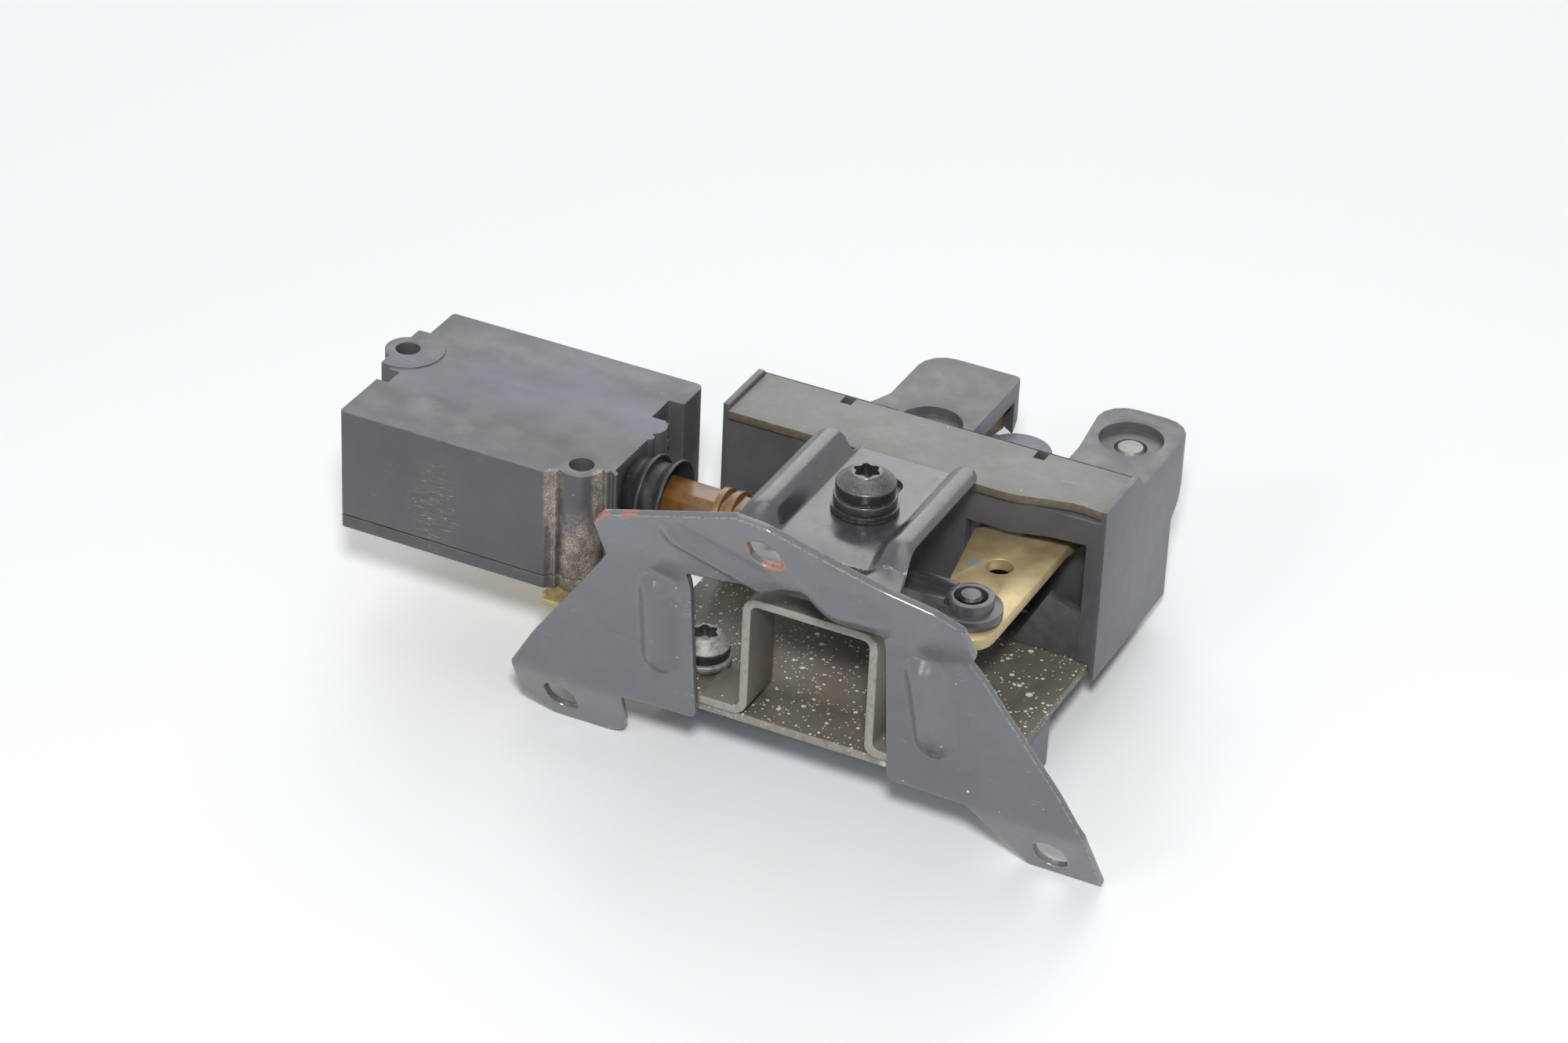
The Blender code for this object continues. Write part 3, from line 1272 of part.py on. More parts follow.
def mounting_bracket():
    """Folded sheet: leaning beam, two legs and two feet."""
    mesh = bmesh.new()
    mesh.faces.new([mesh.verts.new((x, 0, z)) for x, z in bracket_outline()])
    folds = (LEG_FOLD_Z, LEG_FOLD_Z - LEG_LENGTH)
    for fold in folds:
        for shift in (-1, 0, 1):
            parts = mesh.verts[:] + mesh.edges[:] + mesh.faces[:]
            line = (0, 0, fold + shift * FOLD_RADIUS)
            bmesh.ops.bisect_plane(mesh, geom=parts, plane_co=line, plane_no=(0, 0, 1), dist=1e-7)
    for vertex in mesh.verts:
        vertex.co.y = bracket_y(vertex.co.z)
    bmesh.ops.recalc_face_normals(mesh, faces=mesh.faces)
    mesh.faces.ensure_lookup_table()
    if mesh.faces[0].normal.y > 0:
        bmesh.ops.reverse_faces(mesh, faces=mesh.faces)
    data = bpy.data.meshes.new("work")
    mesh.to_mesh(data)
    mesh.free()
    body = bpy.data.objects.new("work", data)
    bpy.context.collection.objects.link(body)
    thick = body.modifiers.new("thick", "SOLIDIFY")
    thick.thickness = SHEET
    thick.offset = -1
    thick.use_even_offset = True
    bake(body)
    feet = LEG_FOLD_Z - LEG_LENGTH
    cut(
        body,
        slot_tool(BEAM_SLOT, beam_y),
        slot_tool((LEFT_SLOT_X, feet - LEFT_SLOT_DROP), foot_y),
        slot_tool((RIGHT_SLOT_X, feet - RIGHT_SLOT_DROP), foot_y),
    )
    top, low = LEG_FOLD_Z - LEG_RIB, feet + 3 * LEG_RIB
    middle = LEG_GAP + 1.5 * LEG_RIB
    pressed_rib(body, (-middle, top), (-middle, low), LEG_RIB, LEG_RIB_HEIGHT, leg_y)
    pressed_rib(body, (middle + 1.2 * MM, top - 1 * MM), (middle + 3.2 * MM, low), LEG_RIB, LEG_RIB_HEIGHT, leg_y)
    rise = LEG_FOLD_Z + EDGE_RISE + ARCH_RISE + BEAM_RIB
    start, end = (-16.5 * MM, rise + 3.3 * MM), (-6 * MM, rise - 1.2 * MM)
    pressed_rib(body, start, end, BEAM_RIB, BEAM_RIB_HEIGHT, beam_y)
    start, end = (10.5 * MM, rise), (19 * MM, rise + 1 * MM)
    pressed_rib(body, start, end, BEAM_RIB, BEAM_RIB_HEIGHT, beam_y)
    return body


def channel_bracket():
    """Channel with rolled lips, cut at the back of the beam."""
    middle = GAP + CHANNEL_SHEET / 2
    crest = middle + LIP_CREST - 0.8 * MM
    right = [
        (CHANNEL_FLOOR, middle),
        (CHANNEL_FLOOR + 1.6 * MM, middle + 1 * MM),
        (CHANNEL_FLOOR + 2.6 * MM, crest - 1.4 * MM),
        (CHANNEL_FLOOR + 4.6 * MM, crest),
        (LIP_REACH - 2 * MM, crest - 0.9 * MM),
        (LIP_REACH, crest - 3 * MM),
    ]
    line = [(-x, z) for x, z in right[::-1]] + right
    far = beam_y(0) - 20 * MM
    body = prism(ribbon(line, CHANNEL_SHEET), "Y", far, CHANNEL_BACK)
    low, high = -3 * MM, 14 * MM
    shift = SHEET_RUN + GAP
    front = [(beam_y(low) + shift, low), (beam_y(high) + shift, high), (far - 9 * MM, high), (far - 9 * MM, low)]
    wide = LIP_REACH + 9 * MM
    cut(body, prism(front, "X", -wide, wide))
    lip = CHANNEL_BACK - LIP_START
    edge = CHANNEL_FLOOR + 1.6 * MM
    for sign in (-1, 1):
        left, right_side = sorted((sign * edge, sign * wide))
        cut(body, block(left, right_side, lip, CHANNEL_BACK + 5 * MM, -1 * MM, high))
    hole = CHANNEL_SHAFT + FIT
    x, y = CHANNEL_SCREW
    run = CHANNEL_SLOT / 2 - hole
    slot = capsule((x, y - 0.4 * run), (x, y + 1.6 * run), hole)
    return cut(body, prism(slot, "Z", -1 * MM, high))


def hat_bracket():
    half = HAT_SHEET / 2
    low = BASE_TOP + GAP + half
    left, right = HAT_LEFT + half, HAT_LEFT + HAT_WIDTH - half
    line = [
        (HAT_FOOT_LEFT, low),
        (left, low),
        (left, HAT_TOP - half),
        (right, HAT_TOP - half),
        (right, low),
        (HAT_FOOT_RIGHT, low),
    ]
    start = BASE_FRONT - 1 * MM
    return prism(bent(line, HAT_SHEET, HAT_BEND), "Y", start, start + HAT_DEPTH)


def channel_washer():
    low = CHANNEL_TOP + GAP
    inner = CHANNEL_SHAFT + FIT
    profile = (
        (inner, low),
        (WASHER_RADIUS, low),
        (WASHER_RADIUS, low + WASHER_THICKNESS),
        (inner, low + WASHER_THICKNESS),
    )
    return lathe(profile, "Z", CHANNEL_SCREW)


def channel_nut():
    high = -PLATE_THICKNESS - GAP
    body = prism(circle(CHANNEL_SCREW, NUT_RADIUS, 6), "Z", high - NUT_HEIGHT, high)
    hole = CHANNEL_SHAFT + FIT
    return cut(body, cylinder(CHANNEL_SCREW, hole, "Z", high - 2 * NUT_HEIGHT, high + 1 * MM, SMALL_SEGMENTS))


def channel_screw():
    low = CHANNEL_TOP + 2 * GAP + WASHER_THICKNESS
    length = low + PLATE_THICKNESS + GAP + NUT_HEIGHT
    return flanged_screw(CHANNEL_SCREW, low, CHANNEL_SHAFT, length)


def carrier_low():
    return LID_LOW - GAP - CARRIER_SHEET


def carrier_plate():
    """Tray under the actuator with the strap to the base plate."""
    low = carrier_low()
    high = low + CARRIER_SHEET
    left, right = CASE_LEFT + CARRIER_INSET, CASE_RIGHT - 2 * MM
    front = CASE_FRONT + CARRIER_SETBACK
    body = prism(rectangle(left, right, front, front + CARRIER_WIDTH, 3 * MM), "Z", low, high)
    tab = block(right - CARRIER_TAB_WIDTH, right, front - CARRIER_TAB, front + 6 * MM, low, high)
    middle = low + CARRIER_SHEET / 2
    under = COVER_TOP - CARRIER_SHEET / 2
    line = [
        (right - 8 * MM, middle),
        (STRAP_BEND, middle),
        (STRAP_BEND + STRAP_RUN, under),
        (STRAP_RIGHT, under),
    ]
    start = PLATE_SCREW_Y - 0.375 * STRAP_WIDTH
    join(body, tab, prism(ribbon(line, CARRIER_SHEET), "Y", start, start + STRAP_WIDTH))
    hole = PLATE_SHAFT + FIT
    screw = (-PLATE_SCREW_X, PLATE_SCREW_Y)
    cut(body, cylinder(screw, hole, "Z", under - 5 * MM, under + 5 * MM, SMALL_SEGMENTS))
    for post in case_posts():
        cut(body, cylinder(post, CASE_SHAFT + FIT, "Z", low - 1 * MM, high + 1 * MM, 12))
    return body


def actuator_screw(place):
    top = carrier_low() - GAP
    low = top - CASE_HEAD_HEIGHT
    tip = -CASE_HEIGHT + CASE_SHAFT_LENGTH - 1 * MM
    profile = (
        (0, low),
        (CASE_HEAD - 0.4 * MM, low),
        (CASE_HEAD, low + 0.4 * MM),
        (CASE_HEAD, top),
        (CASE_SHAFT, top),
        (CASE_SHAFT, tip),
        (0, tip),
    )
    return lathe(profile, "Z", place, 16)


def cover_solid(inset, top):
    """Tub of the lower cover, or its inner room when inset."""
    wide, tail = COVER_WIDTH / 2 - inset, COVER_TAIL_WIDTH / 2 - inset
    front, step, back = COVER_FRONT + inset, COVER_STEP - inset, COVER_BACK - inset
    plan = [
        (wide, front, 2 * MM),
        (wide, step, 2 * MM),
        (tail, step, 3 * MM),
        (tail, back, 3 * MM),
        (-tail, back, 3 * MM),
        (-tail, step, 3 * MM),
        (-wide, step, 2 * MM),
        (-wide, front, 2 * MM),
    ]
    body = prism(rounded(plan), "Z", COVER_BOTTOM - 2 * MM, top)
    low = COVER_BOTTOM + inset
    side = [
        (front, COVER_TOP + 5 * MM),
        (front, COVER_TOP - COVER_NOSE + inset),
        (COVER_CHIN + inset, COVER_TOP - COVER_CHIN_DROP + inset),
        (COVER_MIDDLE, low),
        (back, COVER_TOP - COVER_BACK_DROP + inset),
        (back, COVER_TOP + 5 * MM),
    ]
    return keep(body, prism(side, "X", -wide - 1 * MM, wide + 1 * MM))


def lower_cover():
    body = cover_solid(0, COVER_TOP)
    cut(body, cover_solid(COVER_SHELL, COVER_TOP + 3 * MM))
    strap = CARRIER_SHEET + GAP
    for x in (-PLATE_SCREW_X, PLATE_SCREW_X):
        boss = cylinder((x, PLATE_SCREW_Y), COVER_BOSS, "Z", COVER_BOTTOM, COVER_TOP + 1 * MM, 24)
        join(body, keep(boss, cover_solid(COVER_SHELL / 2, COVER_TOP)))
    start = PLATE_SCREW_Y - 0.375 * STRAP_WIDTH
    wide = COVER_WIDTH / 2 + 1 * MM
    cut(body, block(-wide, STRAP_RIGHT + GAP, start - GAP, start + STRAP_WIDTH + GAP, COVER_TOP - strap,
                    COVER_TOP + 1 * MM))
    for x in (-PLATE_SCREW_X, PLATE_SCREW_X):
        centre = (x, PLATE_SCREW_Y)
        low = BASE_TOP + GAP - PLATE_SHAFT_LENGTH - GAP
        cut(body, cylinder(centre, PLATE_SHAFT + FIT, "Z", low, COVER_TOP + 1 * MM, SMALL_SEGMENTS))
    return body


def build():
    clear_scene()
    satin = material("satin_plate", (0.27, 0.265, 0.235), 0.42, 0.6)
    dull = material("base_plate", (0.2, 0.175, 0.14), 0.55, 0.5)
    moulded = material("housing_plastic", (0.075, 0.077, 0.083), 0.5)
    bracket = material("painted_bracket", (0.05, 0.052, 0.058), 0.34, 0.3)
    gloss = material("channel_paint", (0.012, 0.012, 0.013), 0.15, 0.2)
    hat = material("hat_paint", (0.12, 0.11, 0.09), 0.5, 0.4)
    black_screw = material("black_screw", (0.03, 0.03, 0.032), 0.35, 0.8)
    washer = material("washer_steel", (0.25, 0.25, 0.24), 0.4, 0.9)
    gold = material("gold_chromate", (0.42, 0.34, 0.16), 0.35, 0.8)
    carrier = material("carrier_chromate", (0.4, 0.32, 0.12), 0.4, 0.8)
    pin = material("pin_steel", (0.4, 0.39, 0.36), 0.35, 0.9)
    link = material("link_plastic", (0.025, 0.025, 0.027), 0.4)
    amber = material("plunger_plastic", (0.3, 0.16, 0.05), 0.45)
    rubber = material("boot_rubber", (0.02, 0.02, 0.02), 0.65)
    case = material("case_plastic", (0.035, 0.035, 0.042), 0.38)
    lid = material("lid_plastic", (0.03, 0.03, 0.034), 0.45)
    brown = material("claw_steel", (0.16, 0.1, 0.06), 0.45, 0.7)
    jacket = material("claw_jacket", (0.2, 0.19, 0.26), 0.5)
    tub = material("cover_plastic", (0.2, 0.21, 0.22), 0.5)
    wire = material("spring_steel", (0.35, 0.35, 0.34), 0.35, 0.9)
    brass = material("gear_plastic", (0.75, 0.74, 0.68), 0.5)
    tin = material("terminal_brass", (0.6, 0.48, 0.2), 0.35, 0.9)
    can = material("motor_can", (0.45, 0.45, 0.45), 0.35, 0.9)
    slide = (PLUNGER_END, PLUNGER_Y, PLUNGER_Z)
    claw_axis = (*CLAW_PIVOT, CLAW_MID_Z)
    lever_axis = (*LEVER_PIVOT, LEVER_LOW)

    piece("top_plate", top_plate(), satin)
    piece("bottom_plate", bottom_plate(), dull)
    piece("lock_housing", lock_housing(), moulded)
    piece("mounting_bracket", mounting_bracket(), bracket)
    piece("channel_bracket", channel_bracket(), gloss)
    piece("hat_bracket", hat_bracket(), hat)
    piece("channel_screw", channel_screw(), black_screw)
    piece("channel_washer", channel_washer(), black_screw)
    piece("channel_nut", channel_nut(), washer)
    for side, x in (("left", -PLATE_SCREW_X), ("right", PLATE_SCREW_X)):
        centre = (x, PLATE_SCREW_Y)
        screw = flanged_screw(centre, BASE_TOP + GAP, PLATE_SHAFT, PLATE_SHAFT_LENGTH, PLATE_FLANGE)
        piece("plate_screw_" + side, screw, black_screw)
    piece("release_lever", release_lever(), gold, lever_axis)
    piece("lever_pin", lever_pin(), black_screw, lever_axis)
    piece("link_rod", link_rod(), link, slide)
    piece("plunger", plunger(), amber, slide)
    piece("boot", boot(), rubber)
    piece("actuator_case", actuator_case(), case)
    piece("actuator_lid", actuator_lid(), lid)
    piece("carrier_plate", carrier_plate(), carrier)
    piece("claw", claw(), brown, claw_axis)
    piece("claw_cover", claw_cover(), jacket, claw_axis)
    piece("claw_pin", pivot_pin(CLAW_PIVOT), pin)
    piece("lever_pivot_pin", pivot_pin(LEVER_PIVOT), pin)
    piece("claw_spring", spring(CLAW_PIVOT), wire)
    piece("lever_spring", spring(LEVER_PIVOT), wire)
    piece("lower_cover", lower_cover(), tub)
    piece("motor", motor(), can)
    piece("motor_pinion", motor_pinion(), brass, (GEAR_LEFT, MOTOR_Y, MOTOR_Z))
    piece("spindle_gear", spindle_gear(), brass, (GEAR_LEFT, PLUNGER_Y, PLUNGER_Z))
    piece("spindle_bearing", spindle_bearing(), lid)
    for number, (y, z) in enumerate(terminal_places(), 1):
        piece("terminal_%d" % number, terminal(y, z), tin)
    for number, post in enumerate(case_posts(), 1):
        piece("actuator_screw_%d" % number, actuator_screw(post), pin)


build()
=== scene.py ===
"""Looks of the tailgate lock: finishes, fine sheet metal and screws, light, floor and camera."""
import json
import math

import bmesh
import bpy
from mathutils import Matrix, Vector


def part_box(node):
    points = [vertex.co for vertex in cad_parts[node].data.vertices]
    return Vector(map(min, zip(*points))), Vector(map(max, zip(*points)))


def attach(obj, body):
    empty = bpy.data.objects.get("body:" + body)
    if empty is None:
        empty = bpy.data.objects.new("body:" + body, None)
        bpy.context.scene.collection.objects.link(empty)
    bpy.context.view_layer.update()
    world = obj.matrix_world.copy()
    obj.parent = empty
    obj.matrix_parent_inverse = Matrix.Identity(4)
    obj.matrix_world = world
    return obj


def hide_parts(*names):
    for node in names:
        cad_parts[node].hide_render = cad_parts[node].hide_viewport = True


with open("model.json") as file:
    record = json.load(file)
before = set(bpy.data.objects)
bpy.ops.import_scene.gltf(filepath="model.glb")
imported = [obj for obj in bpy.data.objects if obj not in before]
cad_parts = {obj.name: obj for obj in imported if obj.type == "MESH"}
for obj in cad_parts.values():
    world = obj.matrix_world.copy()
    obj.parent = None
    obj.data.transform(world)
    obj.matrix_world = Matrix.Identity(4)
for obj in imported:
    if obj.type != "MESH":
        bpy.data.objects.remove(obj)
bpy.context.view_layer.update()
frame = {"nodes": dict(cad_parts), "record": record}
NODES = frame["nodes"]
RECORD = frame["record"]
BODY_OF = {node: body for body, nodes in RECORD["behaviour"]["bodies"].items() for node in nodes}
MM = 0.001
DEG = math.pi / 180

# Edges of a solid that turn by more than this are rounded in its finer copy
SHARP = 30 * DEG

# Table on which the lock stands: height at FLOOR_Y, slope along Y, and reach to each side
FLOOR_Y = -0.0404
FLOOR_Z = -0.0540
FLOOR_SLOPE = 0.1405
FLOOR_REACH = 6.0

# Colour of the room, of the table near the lock, and where one fades into the other
PALE = (0.9, 0.935, 0.955, 1)
TABLE = (0.84, 0.865, 0.88, 1)
FADE_START, FADE_END = 0.16, 0.6

CAMERA_PLACE = (0.306665, -0.714944, 0.470768)
CAMERA_YAW, CAMERA_PITCH, CAMERA_ROLL = -25, 32, -2.7
CAMERA_LENS, SENSOR = 108, 36

# Mounting bracket: the sizes of its solid, and how soft its folds and its rim are
SHEET = 1.5 * MM
FOLD_Y, FOLD_Z = -54 * MM, -5 * MM
LEG_LOW = FOLD_Z - 32.5 * MM
LEG_TILT = 4 / 32.5
LEAN_ANGLE = 31 * DEG
LEAN = math.tan(LEAN_ANGLE)
FOLD_SOFT = 2.2 * MM
RIM_SOFT = 0.22 * MM

# Pressed ribs in front view: height, start and end in millimetres, and reach to each side
RIBS = (
    (3.1, (-27, -8.6), (-27, -24), 4.7),
    (3.1, (28.2, -9.8), (30.2, -24), 4.7),
    (2.2, (-17.5, 12), (-3, 4.2), 3.9),
    (2.1, (12.5, 3.2), (17, 4), 7.2),
)

# Channel. Its section in millimetres is that of the solid, but the lips end at their crest, and
# they go from flat to full height between two places along Y, as on the real sheet.
CHANNEL_MIDDLE = 1.05 * MM
CHANNEL_BACK = -3 * MM
CHANNEL_FLOOR = 10.4 * MM
CHANNEL_SECTION = ((8.8, 1.05), (10.4, 1.35), (11.4, 3.4), (12.6, 5.3), (14.8, 5.75), (16.9, 4.75))
CHANNEL_FLAT, CHANNEL_FULL = -48 * MM, -35 * MM
SCREW_PLACE = (0.5 * MM, -22.5 * MM)
SLOT_RADIUS = 3.3 * MM

# Screws: sizes of the head, and lines in millimetres as inset from the radius and height above the foot
HEAD_HEIGHT = 6.6 * MM
SOCKET_RIM = 3.15 * MM
SOCKET_RADIUS, SOCKET_DEPTH = 2.7 * MM, 2.6 * MM
SHOULDER, SHOULDER_DROP = 0.6 * MM, 2.6 * MM
WASHER_LINE = ((0.2, 0), (0, 0.2), (0, 1.4), (0.15, 1.6))
NECK_LINE = ((0.35, 1.7), (0.35, 1.9), (0.1, 2), (0, 2.2))
SOCKET_LINE = ((0.15, 0.05), (0.3, 0.02))

# Each noise layer of a material lies this far, times its number, from the first
LAYER_SHIFT = (0.37, 0.11, 0.53)

# Round lamps: name, place, aim, size across in metres, power in watts
LAMPS = (
    ("front", (0.31, -0.72, 0.66), (0, -0.02, -0.02), 0.12, 7.5),
    ("fill", (-0.62, -1.5, 0.95), (0, -0.02, -0.02), 0.7, 4),
    ("top", (-0.1, 0.2, 1.8), (0, 0, 0), 1.2, 5),
    ("sheen", (-0.5, 1.08, 0.98), (0, 0, 0), 1.4, 9),
)
WORLD_STRENGTH = 0.3


def srgb(red, green, blue):
    """Linear colour from 8-bit values."""
    values = []
    for value in (red, green, blue):
        value /= 255
        values.append(value / 12.92 if value <= 0.04045 else ((value + 0.055) / 1.055) ** 2.4)
    return (*values, 1)


def scaled(colour, factor):
    return (*(min(1, factor * c) for c in colour[:3]), 1)


class Shader:
    """Node material built step by step: tone, roughness and normal are layered, then joined."""

    def __init__(self, name, colour, roughness, metallic, specular):
        self.material = bpy.data.materials.new(name)
        self.material.use_nodes = True
        self.tree = self.material.node_tree
        self.shader = self.tree.nodes["Principled BSDF"]
        self.set("Metallic", metallic)
        self.set("Specular IOR Level", specular)
        self.place = self.add("ShaderNodeTexCoord").outputs["Object"]
        self.tone = colour
        self.rough = roughness
        self.normal = None
        self.seed = 0

    def add(self, kind, **settings):
        node = self.tree.nodes.new(kind)
        for key, value in settings.items():
            setattr(node, key, value)
        return node

    def put(self, socket, value):
        if isinstance(value, bpy.types.NodeSocket):
            self.tree.links.new(value, socket)
        elif value is not None:
            socket.default_value = value

    def set(self, name, value):
        self.put(self.shader.inputs[name], value)

    def stretched(self, scale=(1, 1, 1), turn=(0, 0, 0)):
        """Own place in the texture space, so that no two layers share a pattern."""
        self.seed += 1
        mapping = self.add("ShaderNodeMapping")
        self.put(mapping.inputs["Vector"], self.place)
        mapping.inputs["Scale"].default_value = scale
        mapping.inputs["Rotation"].default_value = [a * DEG for a in turn]
        mapping.inputs["Location"].default_value = [shift * self.seed for shift in LAYER_SHIFT]
        return mapping.outputs["Vector"]

    def noise(self, size, detail=4.0, rough=0.55, scale=(1, 1, 1), turn=(0, 0, 0)):
        """Noise whose grain is about `size` metres."""
        node = self.add("ShaderNodeTexNoise")
        self.put(node.inputs["Vector"], self.stretched(scale, turn))
        node.inputs["Scale"].default_value = 1 / size
        node.inputs["Detail"].default_value = detail
        node.inputs["Roughness"].default_value = rough
        return node.outputs["Fac"]

    def ramp(self, value, low, high, start=0.0, end=1.0):
        node = self.add("ShaderNodeMapRange", clamp=True, interpolation_type="SMOOTHSTEP")
        self.put(node.inputs["Value"], value)
        for name, setting in (("From Min", low), ("From Max", high), ("To Min", start), ("To Max", end)):
            node.inputs[name].default_value = setting
        return node.outputs["Result"]

    def math(self, operation, one, two=None):
        node = self.add("ShaderNodeMath", operation=operation)
        self.put(node.inputs[0], one)
        self.put(node.inputs[1], two)
        return node.outputs[0]

    def chain(self, operation, values):
        out = values[0]
        for value in values[1:]:
            out = self.math(operation, out, value)
        return out

    def times(self, *values):
        return self.chain("MULTIPLY", values)

    def most(self, *values):
        return self.chain("MAXIMUM", values)

    def mix(self, factor, one, two):
        node = self.add("ShaderNodeMix", data_type="RGBA")
        self.put(node.inputs["Factor"], factor)
        self.put(node.inputs[6], one)
        self.put(node.inputs[7], two)
        return node.outputs[2]

    def blend(self, factor, one, two):
        node = self.add("ShaderNodeMix", data_type="FLOAT")
        self.put(node.inputs[0], factor)
        self.put(node.inputs[2], one)
        self.put(node.inputs[3], two)
        return node.outputs[0]

    def component(self, vector, name):
        split = self.add("ShaderNodeSeparateXYZ")
        self.put(split.inputs[0], vector)
        return split.outputs[name]

    def axis(self, name):
        return self.component(self.place, name)

    def facing(self, name):
        """Component of the surface normal in the object's own directions."""
        geometry = self.add("ShaderNodeNewGeometry")
        turn = self.add("ShaderNodeVectorTransform", vector_type="NORMAL",
                        convert_from="WORLD", convert_to="OBJECT")
        self.put(turn.inputs[0], geometry.outputs["Normal"])
        return self.component(turn.outputs[0], name)

    def edges(self, radius, low, high):
        """1 at sharp edges within the radius, 0 on flat faces."""
        bevel = self.add("ShaderNodeBevel", samples=5)
        bevel.inputs["Radius"].default_value = radius
        geometry = self.add("ShaderNodeNewGeometry")
        dot = self.add("ShaderNodeVectorMath", operation="DOT_PRODUCT")
        self.put(dot.inputs[0], bevel.outputs["Normal"])
        self.put(dot.inputs[1], geometry.outputs["True Normal"])
        return self.ramp(self.math("SUBTRACT", 1.0, dot.outputs["Value"]), low, high)

    def spot(self, centre, radius, soft=0.5, squash=(1, 1, 1)):
        """1 within the radius in millimetres of a place of the part frame, fading outside."""
        shift = self.add("ShaderNodeVectorMath", operation="SUBTRACT")
        self.put(shift.inputs[0], self.place)
        shift.inputs[1].default_value = [c * MM for c in centre]
        stretch = self.add("ShaderNodeVectorMath", operation="MULTIPLY")
        self.put(stretch.inputs[0], shift.outputs[0])
        stretch.inputs[1].default_value = squash
        node = self.add("ShaderNodeVectorMath", operation="LENGTH")
        self.put(node.inputs[0], stretch.outputs[0])
        reach = radius * MM
        rough = self.times(self.noise(2.2 * MM, 3), 0.5 * radius * MM)
        ragged = self.math("ADD", node.outputs["Value"], rough)
        return self.ramp(ragged, reach * (1.25 + soft), reach * (1.25 - soft))

    def flecks(self, size, share, radius):
        """Round spots, one in the given share of cells of the given size."""
        node = self.add("ShaderNodeTexVoronoi", feature="F1")
        self.put(node.inputs["Vector"], self.stretched())
        node.inputs["Scale"].default_value = 1 / size
        split = self.add("ShaderNodeSeparateColor")
        self.put(split.inputs[0], node.outputs["Color"])
        chosen = self.math("LESS_THAN", split.outputs[0], share)
        reach = self.blend(split.outputs[1], 0.35 * radius, radius)
        inside = self.math("LESS_THAN", node.outputs["Distance"], reach)
        return self.times(chosen, inside)

    def hairlines(self, length, width, share, turn):
        """Thin scratches along one turned direction, in patches."""
        lines = self.noise(width, 1.0, 0.3, scale=(width / length, 1, 1), turn=turn)
        thin = self.ramp(self.math("ABSOLUTE", self.math("SUBTRACT", lines, 0.5)), 0.012, 0.0)
        return self.times(thin, self.ramp(self.noise(0.5 * length, 2), 1.0 - share, 1.05 - share))

    def bump(self, height, depth):
        node = self.add("ShaderNodeBump")
        node.inputs["Strength"].default_value = 1.0
        node.inputs["Distance"].default_value = depth
        self.put(node.inputs["Height"], height)
        if self.normal is not None:
            self.put(node.inputs["Normal"], self.normal)
        self.normal = node.outputs["Normal"]

    def vary(self, size, low, high=1.12, colour=None):
        """Cloudy change of tone."""
        base = self.tone
        cloud = self.ramp(self.noise(size, 5, 0.6), 0.28, 0.72)
        if isinstance(base, bpy.types.NodeSocket):
            shade = self.mix(cloud, scaled((1, 1, 1), low), (1, 1, 1, 1))
            node = self.add("ShaderNodeMix", data_type="RGBA", blend_type="MULTIPLY")
            node.inputs["Factor"].default_value = 1
            self.put(node.inputs[6], base)
            self.put(node.inputs[7], shade)
            self.tone = node.outputs[2]
        else:
            self.tone = self.mix(cloud, scaled(base, low), colour or scaled(base, high))

    def layer(self, mask, colour, roughness=None):
        """Cover the finish with another colour where the mask is 1."""
        self.tone = self.mix(mask, self.tone, colour)
        if roughness is not None:
            self.rough = self.blend(mask, self.rough, roughness)

    def gloss(self, size, low, high):
        """Cloudy change of roughness between two values."""
        self.rough = self.ramp(self.noise(size, 4), 0.3, 0.7, low, high)

    def clouds(self, size, low, high, amount, colour, roughness=None, detail=5, rough=0.7):
        """Cloudy film: none where the noise is low, the given amount where it is high."""
        film = self.ramp(self.noise(size, detail, rough), low, high)
        self.layer(self.times(film, amount), colour, roughness)

    def specks(self, size, share, radius, amount, colour, roughness):
        self.layer(self.times(self.flecks(size, share, radius), amount), colour, roughness)

    def scratches(self, length, width, share, turn, amount, colour):
        self.layer(self.times(self.hairlines(length, width, share, turn), amount), colour)

    def rubbed(self, width, amount, colour, roughness, patches=None):
        """Worn edges, all along or in patches given as a size and the noise's low and high."""
        worn = self.edges(width, 0.03, 0.25)
        if patches:
            size, low, high = patches
            worn = self.times(worn, self.ramp(self.noise(size, 4), low, high))
        self.layer(self.times(worn, amount), colour, roughness)

    def grain(self, size, depth, detail=3):
        self.bump(self.noise(size, detail), depth)

    def translucent(self, weight, reach):
        """Light under the surface, with its reach in millimetres for red, green and blue."""
        self.set("Subsurface Weight", weight)
        self.set("Subsurface Radius", [r * MM for r in reach])
        self.set("Subsurface Scale", 1.0)

    def done(self):
        self.set("Base Color", self.tone)
        self.set("Roughness", self.rough)
        if self.normal is not None:
            self.set("Normal", self.normal)
        return self.material


def link(made):
    bpy.context.collection.objects.link(made)
    return made


def mesh_object(name, mesh, angle=32):
    """Object from a bmesh, smooth but for its sharp edges."""
    bmesh.ops.recalc_face_normals(mesh, faces=mesh.faces)
    data = bpy.data.meshes.new(name)
    mesh.to_mesh(data)
    mesh.free()
    data.shade_smooth()
    data.set_sharp_from_angle(angle=angle * DEG)
    return link(bpy.data.objects.new(name, data))


def wear(piece, material):
    piece.data.materials.clear()
    piece.data.materials.append(material)


def stand_for(piece, node, material):
    """Let a finer piece take the place of a CAD node."""
    wear(piece, material)
    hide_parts(node)
    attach(piece, BODY_OF[node])
    return piece


